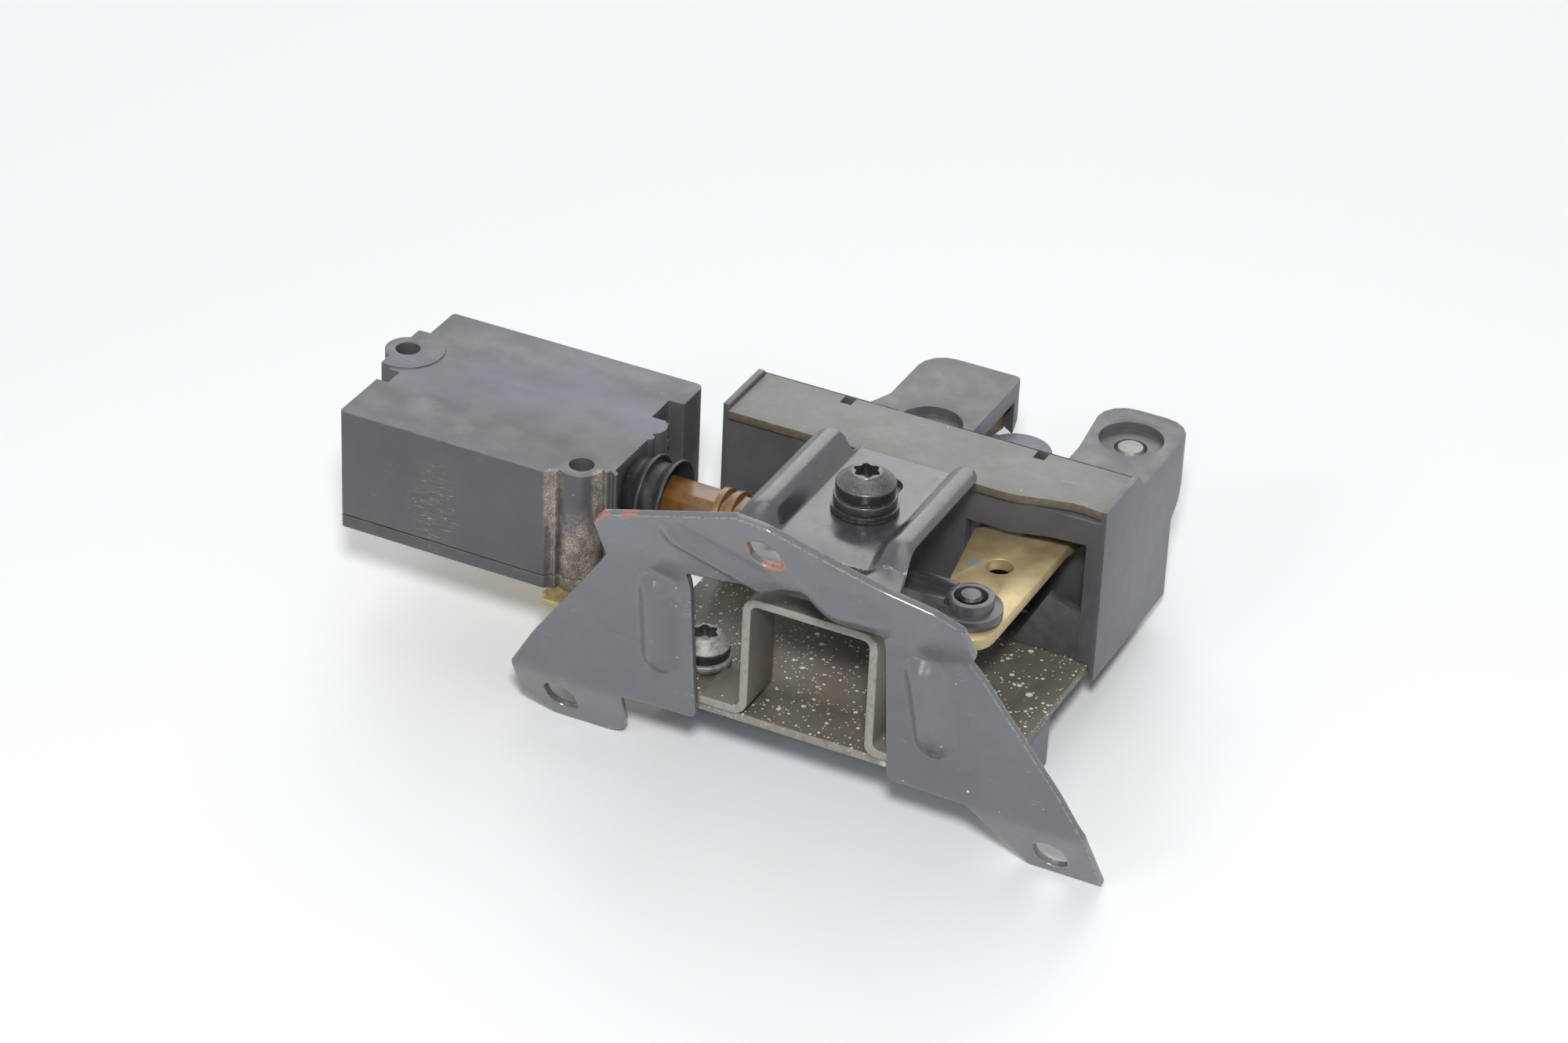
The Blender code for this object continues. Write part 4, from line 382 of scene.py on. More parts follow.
def refined(node, material, width):
    """Copy of a CAD node with rounded edges, standing for it."""
    mesh = bmesh.new()
    mesh.from_mesh(NODES[node].data)
    bmesh.ops.remove_doubles(mesh, verts=mesh.verts, dist=0.004 * MM)
    bmesh.ops.dissolve_limit(mesh, angle_limit=1.2 * DEG, verts=mesh.verts, edges=mesh.edges)
    sharp = [e for e in mesh.edges if len(e.link_faces) == 2 and e.calc_face_angle(0) > SHARP]
    bmesh.ops.bevel(mesh, geom=sharp, offset=width, segments=2, profile=0.5, affect="EDGES",
                    clamp_overlap=True)
    return stand_for(mesh_object(node + "_fine", mesh, 40), node, material)


def prism(outline, low, high, axis="Z"):
    """Solid from an outline of (x, y), or (x, z) for axis Y, between two heights."""
    mesh = bmesh.new()
    rings = []
    for height in (low, high):
        ring = []
        for u, v in outline:
            ring.append(mesh.verts.new((u, v, height) if axis == "Z" else (u, height, v)))
        rings.append(ring)
        mesh.faces.new(ring)
    for k in range(len(outline)):
        mesh.faces.new((rings[0][k - 1], rings[0][k], rings[1][k], rings[1][k - 1]))
    return mesh_object("work", mesh)


def subtract(body, *tools):
    for tool in tools:
        step = body.modifiers.new("step", "BOOLEAN")
        step.operation, step.solver, step.object = "DIFFERENCE", "EXACT", tool
        bpy.context.view_layer.update()
        graph = bpy.context.evaluated_depsgraph_get()
        data = bpy.data.meshes.new_from_object(body.evaluated_get(graph))
        body.modifiers.clear()
        body.data = data
        bpy.data.objects.remove(tool)
    return body


def polar(centre, radius, angle):
    return (centre[0] + radius * math.cos(angle), centre[1] + radius * math.sin(angle))


def rounded(points, step=12 * DEG):
    """Outline with rounded corners: a point is (u, v) or (u, v, radius)."""
    out = []
    for index, point in enumerate(points):
        here = Vector(point[:2])
        radius = point[2] if len(point) > 2 else 0.0
        before = Vector(points[index - 1][:2]) - here
        after = Vector(points[(index + 1) % len(points)][:2]) - here
        if radius <= 0 or before.angle(after) > 179 * DEG:
            out.append(tuple(here))
            continue
        half = before.angle(after) / 2
        reach = min(radius / math.tan(half), 0.45 * min(before.length, after.length))
        radius = reach * math.tan(half)
        centre = here + (before.normalized() + after.normalized()).normalized() * radius / math.sin(half)
        first = here + before.normalized() * reach - centre
        last = here + after.normalized() * reach - centre
        turn = math.atan2(first.x * last.y - first.y * last.x, first.dot(last))
        start = math.atan2(first.y, first.x)
        count = max(2, math.ceil(abs(turn) / step))
        out += [polar(centre, radius, start + turn * k / count) for k in range(count + 1)]
    return out


def capsule(start, end, radius, count=14):
    angle = math.atan2(end[1] - start[1], end[0] - start[0])
    points = [polar(start, radius, angle + math.pi / 2 + math.pi * k / count) for k in range(count + 1)]
    return points + [polar(end, radius, angle - math.pi / 2 + math.pi * k / count) for k in range(count + 1)]


def turned(profile, axis, centre, segments=80):
    """Turned piece from (radius, height) pairs."""
    mesh = bmesh.new()
    rings = []
    for radius, height in profile:
        ring = []
        for k in range(segments if radius > 0 else 1):
            u, v = polar(centre, radius, 2 * math.pi * k / segments)
            ring.append(mesh.verts.new((u, v, height) if axis == "Z" else (height, u, v)))
        rings.append(ring)
    for index in range(1 if profile[0][0] == 0 else 0, len(rings)):
        one, two = rings[index - 1], rings[index]
        for k in range(segments):
            n = (k + 1) % segments
            corners = [one[k % len(one)], one[n % len(one)], two[n % len(two)], two[k % len(two)]]
            mesh.faces.new(list(dict.fromkeys(corners)))
    return mesh_object("work", mesh, 45)


def formed_sheet(name, outline, holes, thickness, step, place):
    """Closed sheet cut flat with soft edges, then formed by place(u, v, depth)."""
    body = prism(outline, 0, thickness, "Y")
    subtract(body, *[prism(hole, -thickness, 2 * thickness, "Y") for hole in holes])
    mesh = bmesh.new()
    mesh.from_mesh(body.data)
    bpy.data.objects.remove(body)
    bmesh.ops.remove_doubles(mesh, verts=mesh.verts, dist=0.002 * MM)
    bmesh.ops.dissolve_limit(mesh, angle_limit=0.5 * DEG, verts=mesh.verts, edges=mesh.edges)
    rim = [e for e in mesh.edges if len(e.link_faces) == 2 and e.calc_face_angle(0) > 80 * DEG
           and abs(e.verts[0].co.y - e.verts[1].co.y) < 1e-6]
    bmesh.ops.bevel(mesh, geom=rim, offset=RIM_SOFT, segments=2, profile=0.5, affect="EDGES",
                    clamp_overlap=True)
    for direction in ((1, 0, 0), (0, 0, 1)):
        spread = [v.co.dot(Vector(direction)) for v in mesh.verts]
        place_now = min(spread) + 0.61 * step
        while place_now < max(spread):
            parts = mesh.verts[:] + mesh.edges[:] + mesh.faces[:]
            line = Vector(direction) * place_now
            bmesh.ops.bisect_plane(mesh, geom=parts, plane_co=line, plane_no=direction, dist=1e-6)
            place_now += step
    bmesh.ops.triangulate(mesh, faces=[f for f in mesh.faces if len(f.verts) > 4])
    for vertex in mesh.verts:
        vertex.co = place(vertex.co.x, vertex.co.z, vertex.co.y)
    return mesh_object(name, mesh, 38)


def smooth_turn(value, reach):
    """0 below -reach and the value itself above reach, with a soft change between."""
    if value <= -reach:
        return 0.0
    return value if value >= reach else (value + reach) ** 2 / (4 * reach)


def swell(x, z, start, end, radius):
    """Soft pressed rib: 1 on the line between two places, 0 beyond the radius."""
    a, b, here = Vector(start), Vector(end), Vector((x / MM, z / MM))
    along = b - a
    share = max(0, min(1, (here - a).dot(along) / along.length_squared))
    off = (here - a - along * share).length / radius
    return (1 - off * off) ** 1.4 if off < 1 else 0.0


def bracket_front(x, z):
    """Place of the sheet's front face along Y, with its two folds and its ribs."""
    y = FOLD_Y + (FOLD_Z - z) * LEG_TILT
    y -= (LEAN - LEG_TILT) * smooth_turn(z - FOLD_Z, FOLD_SOFT)
    y += (LEAN - LEG_TILT) * smooth_turn(LEG_LOW - z, FOLD_SOFT)
    rise = max(height * swell(x, z, start, end, reach) for height, start, end, reach in RIBS)
    return y - rise * MM


def bracket_place(x, z, depth):
    """Point of the formed sheet at the given depth behind its front face."""
    step = 0.1 * MM
    along_x = (bracket_front(x + step, z) - bracket_front(x - step, z)) / (2 * step)
    along_z = (bracket_front(x, z + step) - bracket_front(x, z - step)) / (2 * step)
    back = Vector((-along_x, 1, -along_z)).normalized()
    return Vector((x, bracket_front(x, z), z)) + back * depth


def bracket_outline():
    """Developed front view, the same corners as the solid."""
    right = [
        (-3, 25, 2.5), (3.3, 24.1, 5), (15.7, 18, 20), (24.4, 14.2, 20), (33.8, 11.4, 4), (38.5, 8.2, 1.5),
        (39.3, 0, 1.5), (37.4, -3, 1.5), (55.4, -28.8, 16), (60.5, -37.5, 3), (61.5, -53.7, 0.5),
        (46, -53.7, 1.5), (36.6, -38, 2), (20.2, -37.5, 1.5),
    ]
    wave = [
        (20.2, -1, 1.5), (12.1, -1.3, 1.5), (6.1, 5.5, 2.5), (-1, 3.5, 2.5), (-13.3, 0, 3),
        (-20.2, -0.8, 1.5),
    ]
    left = [
        (-20.2, -37.5, 1.5), (-36.6, -38, 2), (-39.4, -53.4, 6), (-56, -53.7, 3), (-61.5, -48.2, 3),
        (-60.5, -37.5, 3), (-55.4, -28.8, 16), (-37.4, -3, 1.5), (-36.7, 8.2, 1.5), (-33.8, 11.8, 1.5),
    ]
    return rounded([tuple(value * MM for value in point) for point in right + wave + left])


def slot(x, z, tilt):
    """Hole of a pad in the front view, foreshortened by the pad's lean."""
    points = capsule((0, -1.45 * MM), (0, 1.45 * MM), SLOT_RADIUS)
    return [(x * MM + u, z * MM + v * tilt) for u, v in points]


def mounting_bracket():
    tilt = math.cos(LEAN_ANGLE)
    holes = [slot(0.5, 14.9, tilt), slot(-51.9, -45.8, tilt), slot(52, -47.4, tilt)]
    made = formed_sheet("bracket_sheet", bracket_outline(), holes, SHEET, 0.9 * MM, bracket_place)
    return stand_for(made, "mounting_bracket", bracket_paint())


def softened(points, rounds=3):
    """Line with its corners cut off a few times."""
    line = [Vector(p) for p in points]
    for _ in range(rounds):
        out = [line[0]]
        for one, two in zip(line, line[1:]):
            out += [one.lerp(two, 0.25), one.lerp(two, 0.75)]
        line = out + [line[-1]]
    return line


def channel_line():
    """Middle line of the channel's section with the length along it."""
    right = [(x * MM, z * MM) for x, z in CHANNEL_SECTION]
    line = softened([(-x, z) for x, z in right[::-1]] + [(0, CHANNEL_MIDDLE)] + right)
    lengths = [0.0]
    for one, two in zip(line, line[1:]):
        lengths.append(lengths[-1] + (two - one).length)
    half = lengths[-1] / 2
    return line, [length - half for length in lengths]


def channel_bracket():
    line, lengths = channel_line()
    half = lengths[-1]

    def on_section(s):
        s = max(-half, min(half, s))
        index = max(1, next(k for k, value in enumerate(lengths) if value >= s - 1e-9))
        share = (s - lengths[index - 1]) / (lengths[index] - lengths[index - 1])
        point = line[index - 1].lerp(line[index], share)
        along = (line[min(index + 1, len(line) - 1)] - line[max(index - 2, 0)]).normalized()
        return point, Vector((along.y, -along.x))

    def place(s, y, depth):
        point, down = on_section(s)
        point = point - down * (SHEET / 2 - depth)
        flat = Vector((s, CHANNEL_MIDDLE - SHEET / 2 + depth))
        share = max(0, min(1, (y - CHANNEL_FLAT) / (CHANNEL_FULL - CHANNEL_FLAT)))
        point = flat.lerp(point, share * share * (3 - 2 * share))
        return Vector((point.x, y, point.y))

    front = FOLD_Y - (CHANNEL_MIDDLE - FOLD_Z) * LEAN + SHEET / math.cos(LEAN_ANGLE) + 0.8 * MM
    back, lip = CHANNEL_BACK, CHANNEL_BACK - 3 * MM
    outline = rounded([
        (-half, front, 1 * MM), (half, front, 1 * MM), (half, lip, 3 * MM),
        (CHANNEL_FLOOR + 0.6 * MM, lip, 1 * MM), (CHANNEL_FLOOR, back, 0.8 * MM),
        (-CHANNEL_FLOOR, back, 0.8 * MM), (-CHANNEL_FLOOR - 0.6 * MM, lip, 1 * MM), (-half, lip, 3 * MM),
    ])
    x, y = SCREW_PLACE
    hole = capsule((x, y - 2.3 * MM), (x, y + 9.1 * MM), SLOT_RADIUS)
    made = formed_sheet("channel_sheet", outline, [hole], SHEET, 0.8 * MM, place)
    return stand_for(made, "channel_bracket", channel_paint())


def lobes(centre, radius, count=6):
    """Six-lobed driver recess."""
    points = []
    for k in range(12 * count):
        angle = 2 * math.pi * k / (12 * count)
        points.append(polar(centre, radius * (0.885 + 0.115 * math.cos(count * angle)), angle))
    return points


def socket_screw(node, material):
    """Round-headed screw with a captive washer, from the box of its solid."""
    low_corner, high_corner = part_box(node)
    centre = ((low_corner[0] + high_corner[0]) / 2, (low_corner[1] + high_corner[1]) / 2)
    wide = (high_corner[0] - low_corner[0]) / 2
    top, tip = high_corner[2], low_corner[2]
    head = wide - 0.3 * MM
    low = top - HEAD_HEIGHT
    shaft = 3 * MM if node == "channel_screw" else 2.5 * MM
    profile = [(0, tip), (shaft - 0.5 * MM, tip), (shaft, tip + 0.5 * MM), (shaft, low)]
    for radius, line in ((wide, WASHER_LINE), (head, NECK_LINE)):
        profile += [(radius - inset * MM, low + height * MM) for inset, height in line]
    for k in range(7):
        angle = k / 6 * 65 * DEG
        inset = SHOULDER * (1 - math.cos(angle))
        profile.append((head - inset, top - SHOULDER_DROP + SHOULDER * math.sin(angle)))
    start = Vector(profile[-1])
    for k in range(1, 8):
        share = k / 7
        bulge = 0.22 * MM * math.sin(math.pi * share)
        here = start.lerp(Vector((SOCKET_RIM, top - 0.3 * MM)), share)
        profile.append((here.x, here.y + bulge))
    profile += [(SOCKET_RIM - inset * MM, top - drop * MM) for inset, drop in SOCKET_LINE]
    profile.append((0, top - 0.02 * MM))
    made = turned(profile, "Z", centre)
    recess = prism(lobes(centre, SOCKET_RADIUS), top - SOCKET_DEPTH, top + 1 * MM)
    subtract(made, recess)
    made.name = node + "_fine"
    made.data.shade_smooth()
    made.data.set_sharp_from_angle(angle=40 * DEG)
    return stand_for(made, node, material)


def boot():
    """Rubber boot with two thin lips, the right one open like a cup."""
    low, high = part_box("boot")
    left, right = low[0], high[0]
    centre = ((low[1] + high[1]) / 2, (low[2] + high[2]) / 2)
    outer = (high[1] - low[1]) / 2
    drum = outer - 1.5 * MM
    inner = 5.05 * MM
    middle = (left + right) / 2

    def lip(end, inward):
        return [
            (drum, end - 2.6 * MM), (drum + 0.25 * MM, end - 2.1 * MM), (outer - 0.5 * MM, end - 1.1 * MM),
            (outer - 0.12 * MM, end - 0.7 * MM), (outer, end - 0.4 * MM), (outer - 0.1 * MM, end - 0.1 * MM),
            (outer - 0.35 * MM, end), (outer - 0.6 * MM, end - 0.12 * MM), (outer - inward, end - 0.7 * MM),
        ]

    profile = [(inner, left), (drum - 0.3 * MM, left), (drum, left + 0.3 * MM)]
    profile += lip(middle, 1.1 * MM)
    profile += [(drum + 0.1 * MM, middle - 0.6 * MM), (drum, middle - 0.1 * MM)]
    profile += lip(right, 0.9 * MM)
    profile += [(drum - 0.7 * MM, right - 2 * MM), (drum - 0.9 * MM, right - 2.6 * MM)]
    profile.append((inner, right - 2.7 * MM))
    made = turned(profile, "X", centre, 110)
    made.name = "boot_fine"
    return stand_for(made, "boot", rubber())


# Finishes. Colours are 8-bit values as they look in plain light.

WHITE_DUST = srgb(216, 216, 208)
BROWN_DUST = srgb(126, 106, 84)
RUST = srgb(190, 112, 80)


def bracket_paint():
    """Semi-gloss dark paint, chipped at its edges, with rust where it wore through."""
    made = Shader("bracket_paint", srgb(94, 95, 99), 0.2, 0.0, 0.8)
    made.vary(26 * MM, 0.86, 1.08)
    made.rough = made.ramp(made.noise(7 * MM, 4), 0.3, 0.75, 0.16, 0.26)
    # Painted shade: mottled dark patches on the lower, down-facing tail of each leg rib and along the beam's
    # lower edge where the channel meets it
    painted_shade_spots = made.most(
        made.spot((-27.5, -55, -28), 3.2),
        made.spot((30.2, -55, -26.5), 3.4),
        made.times(made.spot((0, -58, 1), 11, 0.4, (1, 1, 2)), 0.6),
    )
    patchy = made.ramp(made.noise(1 * MM, 4), 0.3, 0.6, 0.35, 0.9)
    made.layer(made.times(painted_shade_spots, patchy), srgb(44, 42, 41), 0.6)
    made.specks(1.8 * MM, 0.05, 0.12, 0.8, srgb(178, 178, 174), 0.6)
    made.layer(made.flecks(9 * MM, 0.06, 0.06), srgb(225, 225, 220), 0.6)
    made.scratches(9 * MM, 0.3 * MM, 0.4, (0, 70, 0), 0.5, srgb(176, 176, 174))
    # Pale flecks along the upper and right edges: partly chipped paint, partly a painted highlight where
    # those edges catch the light
    worn = made.edges(0.5 * MM, 0.03, 0.2)
    upper = made.ramp(made.axis("Z"), 0.002, 0.009, 0.35, 1.0)
    right = made.ramp(made.axis("X"), 0.03, 0.045)
    chips_and_highlight = made.ramp(made.noise(0.9 * MM, 4, 0.7), 0.42, 0.53)
    made.layer(made.times(worn, chips_and_highlight, made.most(upper, right)), srgb(214, 212, 206), 0.55)
    holes = made.most(
        made.spot((2, -64.5, 12.6), 3.6, 0.2),
        made.spot((-2.4, -66, 16.5), 1.8, 0.2),
        made.spot((-50.4, -46, -47.2), 2.6, 0.2),
        made.spot((51, -45, -49.8), 3, 0.2),
        made.spot((-34.5, -63.5, 11), 3, 0.3),
        made.spot((-27, -65, 14), 2.2, 0.3),
        made.spot((-22, -65, 15), 1.6, 0.3),
    )
    worn_through = made.edges(1.2 * MM, 0.004, 0.04)
    made.layer(made.times(holes, worn_through, made.ramp(made.noise(0.8 * MM, 4, 0.7), 0.36, 0.5)), RUST, 0.8)
    made.layer(made.times(made.spot((-31.5, -51.5, -37), 0.5, 0.3), 0.9), srgb(172, 98, 62), 0.8)
    made.grain(0.7 * MM, 0.004 * MM, 2)
    made.grain(11 * MM, 0.15 * MM, 2)
    return made.done()


def channel_paint():
    """Glossy black with pale specks and rubbed lip edges."""
    made = Shader("channel_gloss", srgb(58, 58, 63), 0.2, 0.0, 0.95)
    made.vary(22 * MM, 0.85, 1.12)
    made.gloss(6 * MM, 0.16, 0.3)
    made.clouds(4 * MM, 0.5, 0.75, 0.55, srgb(50, 49, 48), 0.5)
    # Painted shade: darker towards the front end, under the beam, in noisy patches; it is also rougher there
    front = made.ramp(made.axis("Y"), -44 * MM, -52 * MM)
    dust = made.ramp(made.noise(1.2 * MM, 4), 0.25, 0.6, 0.6, 1.0)
    made.layer(made.times(front, dust), srgb(34, 33, 32), 0.75)
    made.specks(2.2 * MM, 0.07, 0.13, 0.9, srgb(170, 170, 165), 0.6)
    made.layer(made.flecks(7 * MM, 0.08, 0.07), srgb(226, 226, 220), 0.6)
    made.scratches(8 * MM, 0.5 * MM, 0.46, (0, 0, 62), 0.45, srgb(128, 128, 128))
    worn = made.times(made.edges(0.45 * MM, 0.03, 0.2), made.ramp(made.noise(1.2 * MM, 4, 0.7), 0.5, 0.6))
    made.layer(made.times(worn, 0.8), srgb(150, 148, 142), 0.5)
    made.grain(0.7 * MM, 0.006 * MM)
    return made.done()


def zinc(name, colour, pale, specks, dust):
    """Dull zinc sheet with white specks and a lighter cut edge."""
    made = Shader(name, srgb(*colour), 0.48, 0.1, 0.5)
    made.vary(15 * MM, 0.86, 1.08)
    made.vary(2.4 * MM, 0.88)
    made.layer(made.times(made.ramp(made.noise(8 * MM, 5, 0.65), 0.5, 0.7), dust), BROWN_DUST, 0.75)
    for size, share, radius in specks:
        made.layer(made.flecks(size, share, radius), WHITE_DUST, 0.8)
    made.rubbed(0.35 * MM, pale, srgb(176, 172, 160), 0.45, (2 * MM, 0.36, 0.55))
    made.grain(0.45 * MM, 0.01 * MM)
    return made


def front_face_tone(made, size, span, colour, roughness):
    """Tone laid on the faces that look forward, with the noise's low and high and the least and most cover.
    """
    front = made.ramp(made.facing("Y"), -0.5, -0.8)
    made.layer(made.times(front, made.ramp(made.noise(size, 4), *span)), colour, roughness)


def top_plate_finish():
    made = zinc("top_plate_zinc", (118, 117, 114), 0.6, ((2.2 * MM, 0.1, 0.12), (5 * MM, 0.14, 0.09)), 0.16)
    front_face_tone(made, 1.3 * MM, (0.25, 0.6, 0.55, 1.0), srgb(96, 86, 68), 0.7)
    made.scratches(12 * MM, 0.5 * MM, 0.5, (0, 0, 12), 0.3, srgb(170, 170, 166))
    return made.done()


def base_plate_finish():
    specks = ((0.8 * MM, 0.5, 0.3), (1.5 * MM, 0.5, 0.28), (3 * MM, 0.42, 0.24))
    made = zinc("base_plate_zinc", (110, 106, 96), 0.7, specks, 0.35)
    # Painted light: the faces that look forward are lighter, in noisy patches
    front_face_tone(made, 1.5 * MM, (0.3, 0.6, 0.3, 0.8), srgb(140, 136, 126), 0.5)
    return made.done()


def hat_finish():
    specks = ((1.1 * MM, 0.25, 0.2), (2.4 * MM, 0.2, 0.18))
    made = zinc("hat_zinc", (108, 105, 97), 0.9, specks, 0.25)
    # Painted light: the faces that look forward are lighter, in noisy patches
    front_face_tone(made, 1.2 * MM, (0.25, 0.55, 0.5, 1.0), srgb(144, 141, 132), 0.5)
    return made.done()


def housing_plastic():
    """Dark moulded case, dusty, with its right side painted paler as if lit from the right."""
    made = Shader("housing_moulding", srgb(80, 79, 83), 0.36, 0.0, 0.6)
    made.vary(18 * MM, 0.84, 1.14)
    made.gloss(5 * MM, 0.3, 0.48)
    web = made.most(made.spot((29, 2, -27), 11, 0.4), made.spot((17, 10, -27), 9, 0.4))
    made.layer(made.times(web, made.ramp(made.noise(3 * MM, 5), 0.4, 0.65, 0.1, 0.6)), srgb(98, 94, 88), 0.7)
    made.clouds(9 * MM, 0.52, 0.74, 0.4, srgb(92, 90, 92), 0.6)
    made.specks(1.9 * MM, 0.07, 0.14, 0.7, srgb(142, 140, 136), 0.7)
    made.layer(made.flecks(7 * MM, 0.09, 0.07), srgb(206, 204, 196), 0.7)
    # Painted light: faces that look right are paler and bluer, as if lit by a lamp on that side
    right = made.ramp(made.facing("X"), 0.6, 0.9)
    made.layer(made.times(right, 0.7), srgb(98, 101, 108), 0.42)
    made.rubbed(0.6 * MM, 0.5, srgb(122, 122, 124), 0.5, (2 * MM, 0.42, 0.62))
    made.grain(0.5 * MM, 0.015 * MM)
    return made.done()


def case_plastic(name, tone):
    """Black moulding of the actuator: pale smudges on top that are partly a painted sheen, brown dust in the
    flutes, scratches.
    """
    made = Shader(name, srgb(*tone), 0.36, 0.0, 0.6)
    made.vary(24 * MM, 0.88, 1.12)
    made.gloss(6 * MM, 0.34, 0.5)
    # Pale smudges on faces that look up: partly real marks, partly a painted sheen from the light above
    up = made.ramp(made.facing("Z"), 0.6, 0.9)
    smear_and_sheen = made.ramp(made.noise(16 * MM, 4, 0.5, (0.45, 1, 1), (0, 0, 12)), 0.42, 0.68)
    made.layer(made.times(up, smear_and_sheen, 0.65), srgb(98, 97, 110), 0.45)
    flute = made.most(
        made.spot((-57.8, -38.6, -5), 1.7, 0.4, (1, 1, 0.1)),
        made.spot((-50.2, -34.4, -6), 1.5, 0.4, (1, 1, 0.1)),
        made.spot((-52, -38.4, -20), 5.5, 0.4, (1, 1, 0.55)),
    )
    grit = made.ramp(made.noise(0.35 * MM, 4, 0.8), 0.36, 0.62)
    drift = made.ramp(made.noise(3.5 * MM, 5, 0.7), 0.36, 0.6, 0.3, 1.0)
    made.layer(made.times(flute, grit, drift, 0.95), srgb(190, 176, 158), 0.8)
    made.clouds(8 * MM, 0.55, 0.8, 0.35, srgb(96, 90, 84), 0.6)
    scrape = made.spot((-84, -39, -16), 5, 0.4, (1, 1, 0.5))
    lines = made.hairlines(6 * MM, 0.45 * MM, 0.8, (0, 68, 0))
    made.layer(made.times(scrape, lines), srgb(160, 156, 150), 0.6)
    made.scratches(10 * MM, 0.5 * MM, 0.46, (0, 0, 40), 0.4, srgb(116, 116, 120))
    made.specks(2.4 * MM, 0.06, 0.12, 0.7, srgb(136, 132, 126), 0.7)
    made.rubbed(0.5 * MM, 0.55, srgb(124, 121, 116), 0.5, (2.5 * MM, 0.36, 0.6))
    made.grain(0.4 * MM, 0.012 * MM)
    return made.done()


def chromate(name, colour, worn_colour):
    """Yellow chromate steel with cloudy, slightly iridescent patches."""
    made = Shader(name, srgb(*colour), 0.4, 0.4, 0.5)
    made.vary(9 * MM, 0.84, 1.06, srgb(204, 184, 142))
    made.gloss(4 * MM, 0.36, 0.5)
    made.clouds(6 * MM, 0.55, 0.75, 0.35, srgb(150, 150, 134), None, 4, 0.55)
    made.layer(made.times(made.spot((18.5, -9.5, -12), 1.5, 0.45), 0.8), srgb(150, 158, 168))
    made.specks(1.7 * MM, 0.1, 0.14, 0.7, srgb(206, 196, 168), 0.7)
    made.scratches(6 * MM, 0.4 * MM, 0.5, (0, 0, 75), 0.3, srgb(110, 98, 72))
    made.layer(made.times(made.edges(0.4 * MM, 0.03, 0.2), 0.8), srgb(*worn_colour), 0.3)
    made.grain(0.5 * MM, 0.008 * MM)
    return made.done()


def black_steel(name, dust):
    """Black zinc screw with rubbed dome, more or less dusty."""
    made = Shader(name, srgb(52, 52, 55), 0.26, 0.3, 0.8)
    made.vary(4 * MM, 0.8, 1.25)
    up = made.ramp(made.facing("Z"), 0.35, 0.8)
    # Brownish cloud on faces that look up: partly a rust tint, partly a painted reflection on the dome
    cloud = made.ramp(made.noise(3 * MM, 5, 0.7), 0.42, 0.7)
    made.layer(made.times(up, cloud, 0.5), srgb(96, 90, 82), 0.45)
    rubbed = made.ramp(made.noise(0.5 * MM, 5, 0.75), 0.58, 0.66)
    made.layer(made.times(up, rubbed, 0.6), srgb(168, 166, 160), 0.5)
    # Paler edges in patches: partly worn metal, partly a painted highlight on the head's shoulder and socket
    # rim
    worn = made.times(made.edges(0.4 * MM, 0.03, 0.25), made.ramp(made.noise(1.4 * MM, 4), 0.42, 0.6))
    made.layer(worn, srgb(146, 145, 141), 0.4)
    made.specks(1.1 * MM, 0.12, 0.16, 0.8, srgb(170, 168, 160), 0.7)
    film = made.ramp(made.noise(1.6 * MM, 5, 0.7), 0.3, 0.6, 0.35, 1.0)
    made.layer(made.times(made.ramp(made.facing("Z"), -0.1, 0.5), film, dust), srgb(164, 161, 156), 0.6)
    made.grain(0.5 * MM, 0.012 * MM, 4)
    return made.done()


def rubber():
    made = Shader("boot_black", srgb(42, 42, 44), 0.42, 0.0, 0.5)
    made.vary(5 * MM, 0.85, 1.15)
    made.clouds(2 * MM, 0.5, 0.75, 0.5, srgb(88, 86, 82), 0.65)
    made.specks(0.9 * MM, 0.12, 0.16, 0.6, srgb(140, 136, 128), 0.7)
    made.grain(0.35 * MM, 0.012 * MM)
    return made.done()


def link_plastic():
    made = Shader("link_black", srgb(68, 68, 72), 0.28, 0.0, 0.6)
    made.vary(7 * MM, 0.85, 1.18)
    made.clouds(3 * MM, 0.54, 0.78, 0.4, srgb(84, 82, 80), 0.55)
    made.specks(1.5 * MM, 0.08, 0.13, 0.7, srgb(150, 148, 142), 0.7)
    made.rubbed(0.35 * MM, 0.35, srgb(98, 98, 102), 0.4)
    made.grain(0.4 * MM, 0.01 * MM)
    return made.done()


def amber():
    """Translucent amber moulding."""
    made = Shader("plunger_amber", srgb(112, 78, 42), 0.3, 0.0, 0.5)
    made.vary(5 * MM, 0.75, 1.12, srgb(132, 96, 56))
    made.clouds(3 * MM, 0.5, 0.75, 0.5, srgb(112, 92, 62), 0.5)
    made.rubbed(0.4 * MM, 0.7, srgb(186, 150, 96), 0.35)
    made.specks(1.4 * MM, 0.08, 0.13, 0.7, srgb(200, 186, 156), 0.7)
    made.translucent(0.12, (1.6, 0.8, 0.3))
    made.set("Coat Weight", 0.25)
    made.set("Coat Roughness", 0.2)
    made.grain(0.6 * MM, 0.01 * MM)
    return made.done()


def oiled_steel():
    made = Shader("claw_oiled", srgb(104, 82, 58), 0.42, 0.55, 0.5)
    made.vary(7 * MM, 0.72, 1.2, srgb(134, 108, 78))
    made.clouds(3 * MM, 0.5, 0.72, 0.6, srgb(64, 50, 40), 0.6)
    made.rubbed(0.5 * MM, 0.6, srgb(150, 138, 116), 0.35)
    made.scratches(5 * MM, 0.35 * MM, 0.5, (0, 0, 20), 0.4, srgb(150, 136, 112))
    made.grain(0.5 * MM, 0.015 * MM, 4)
    return made.done()


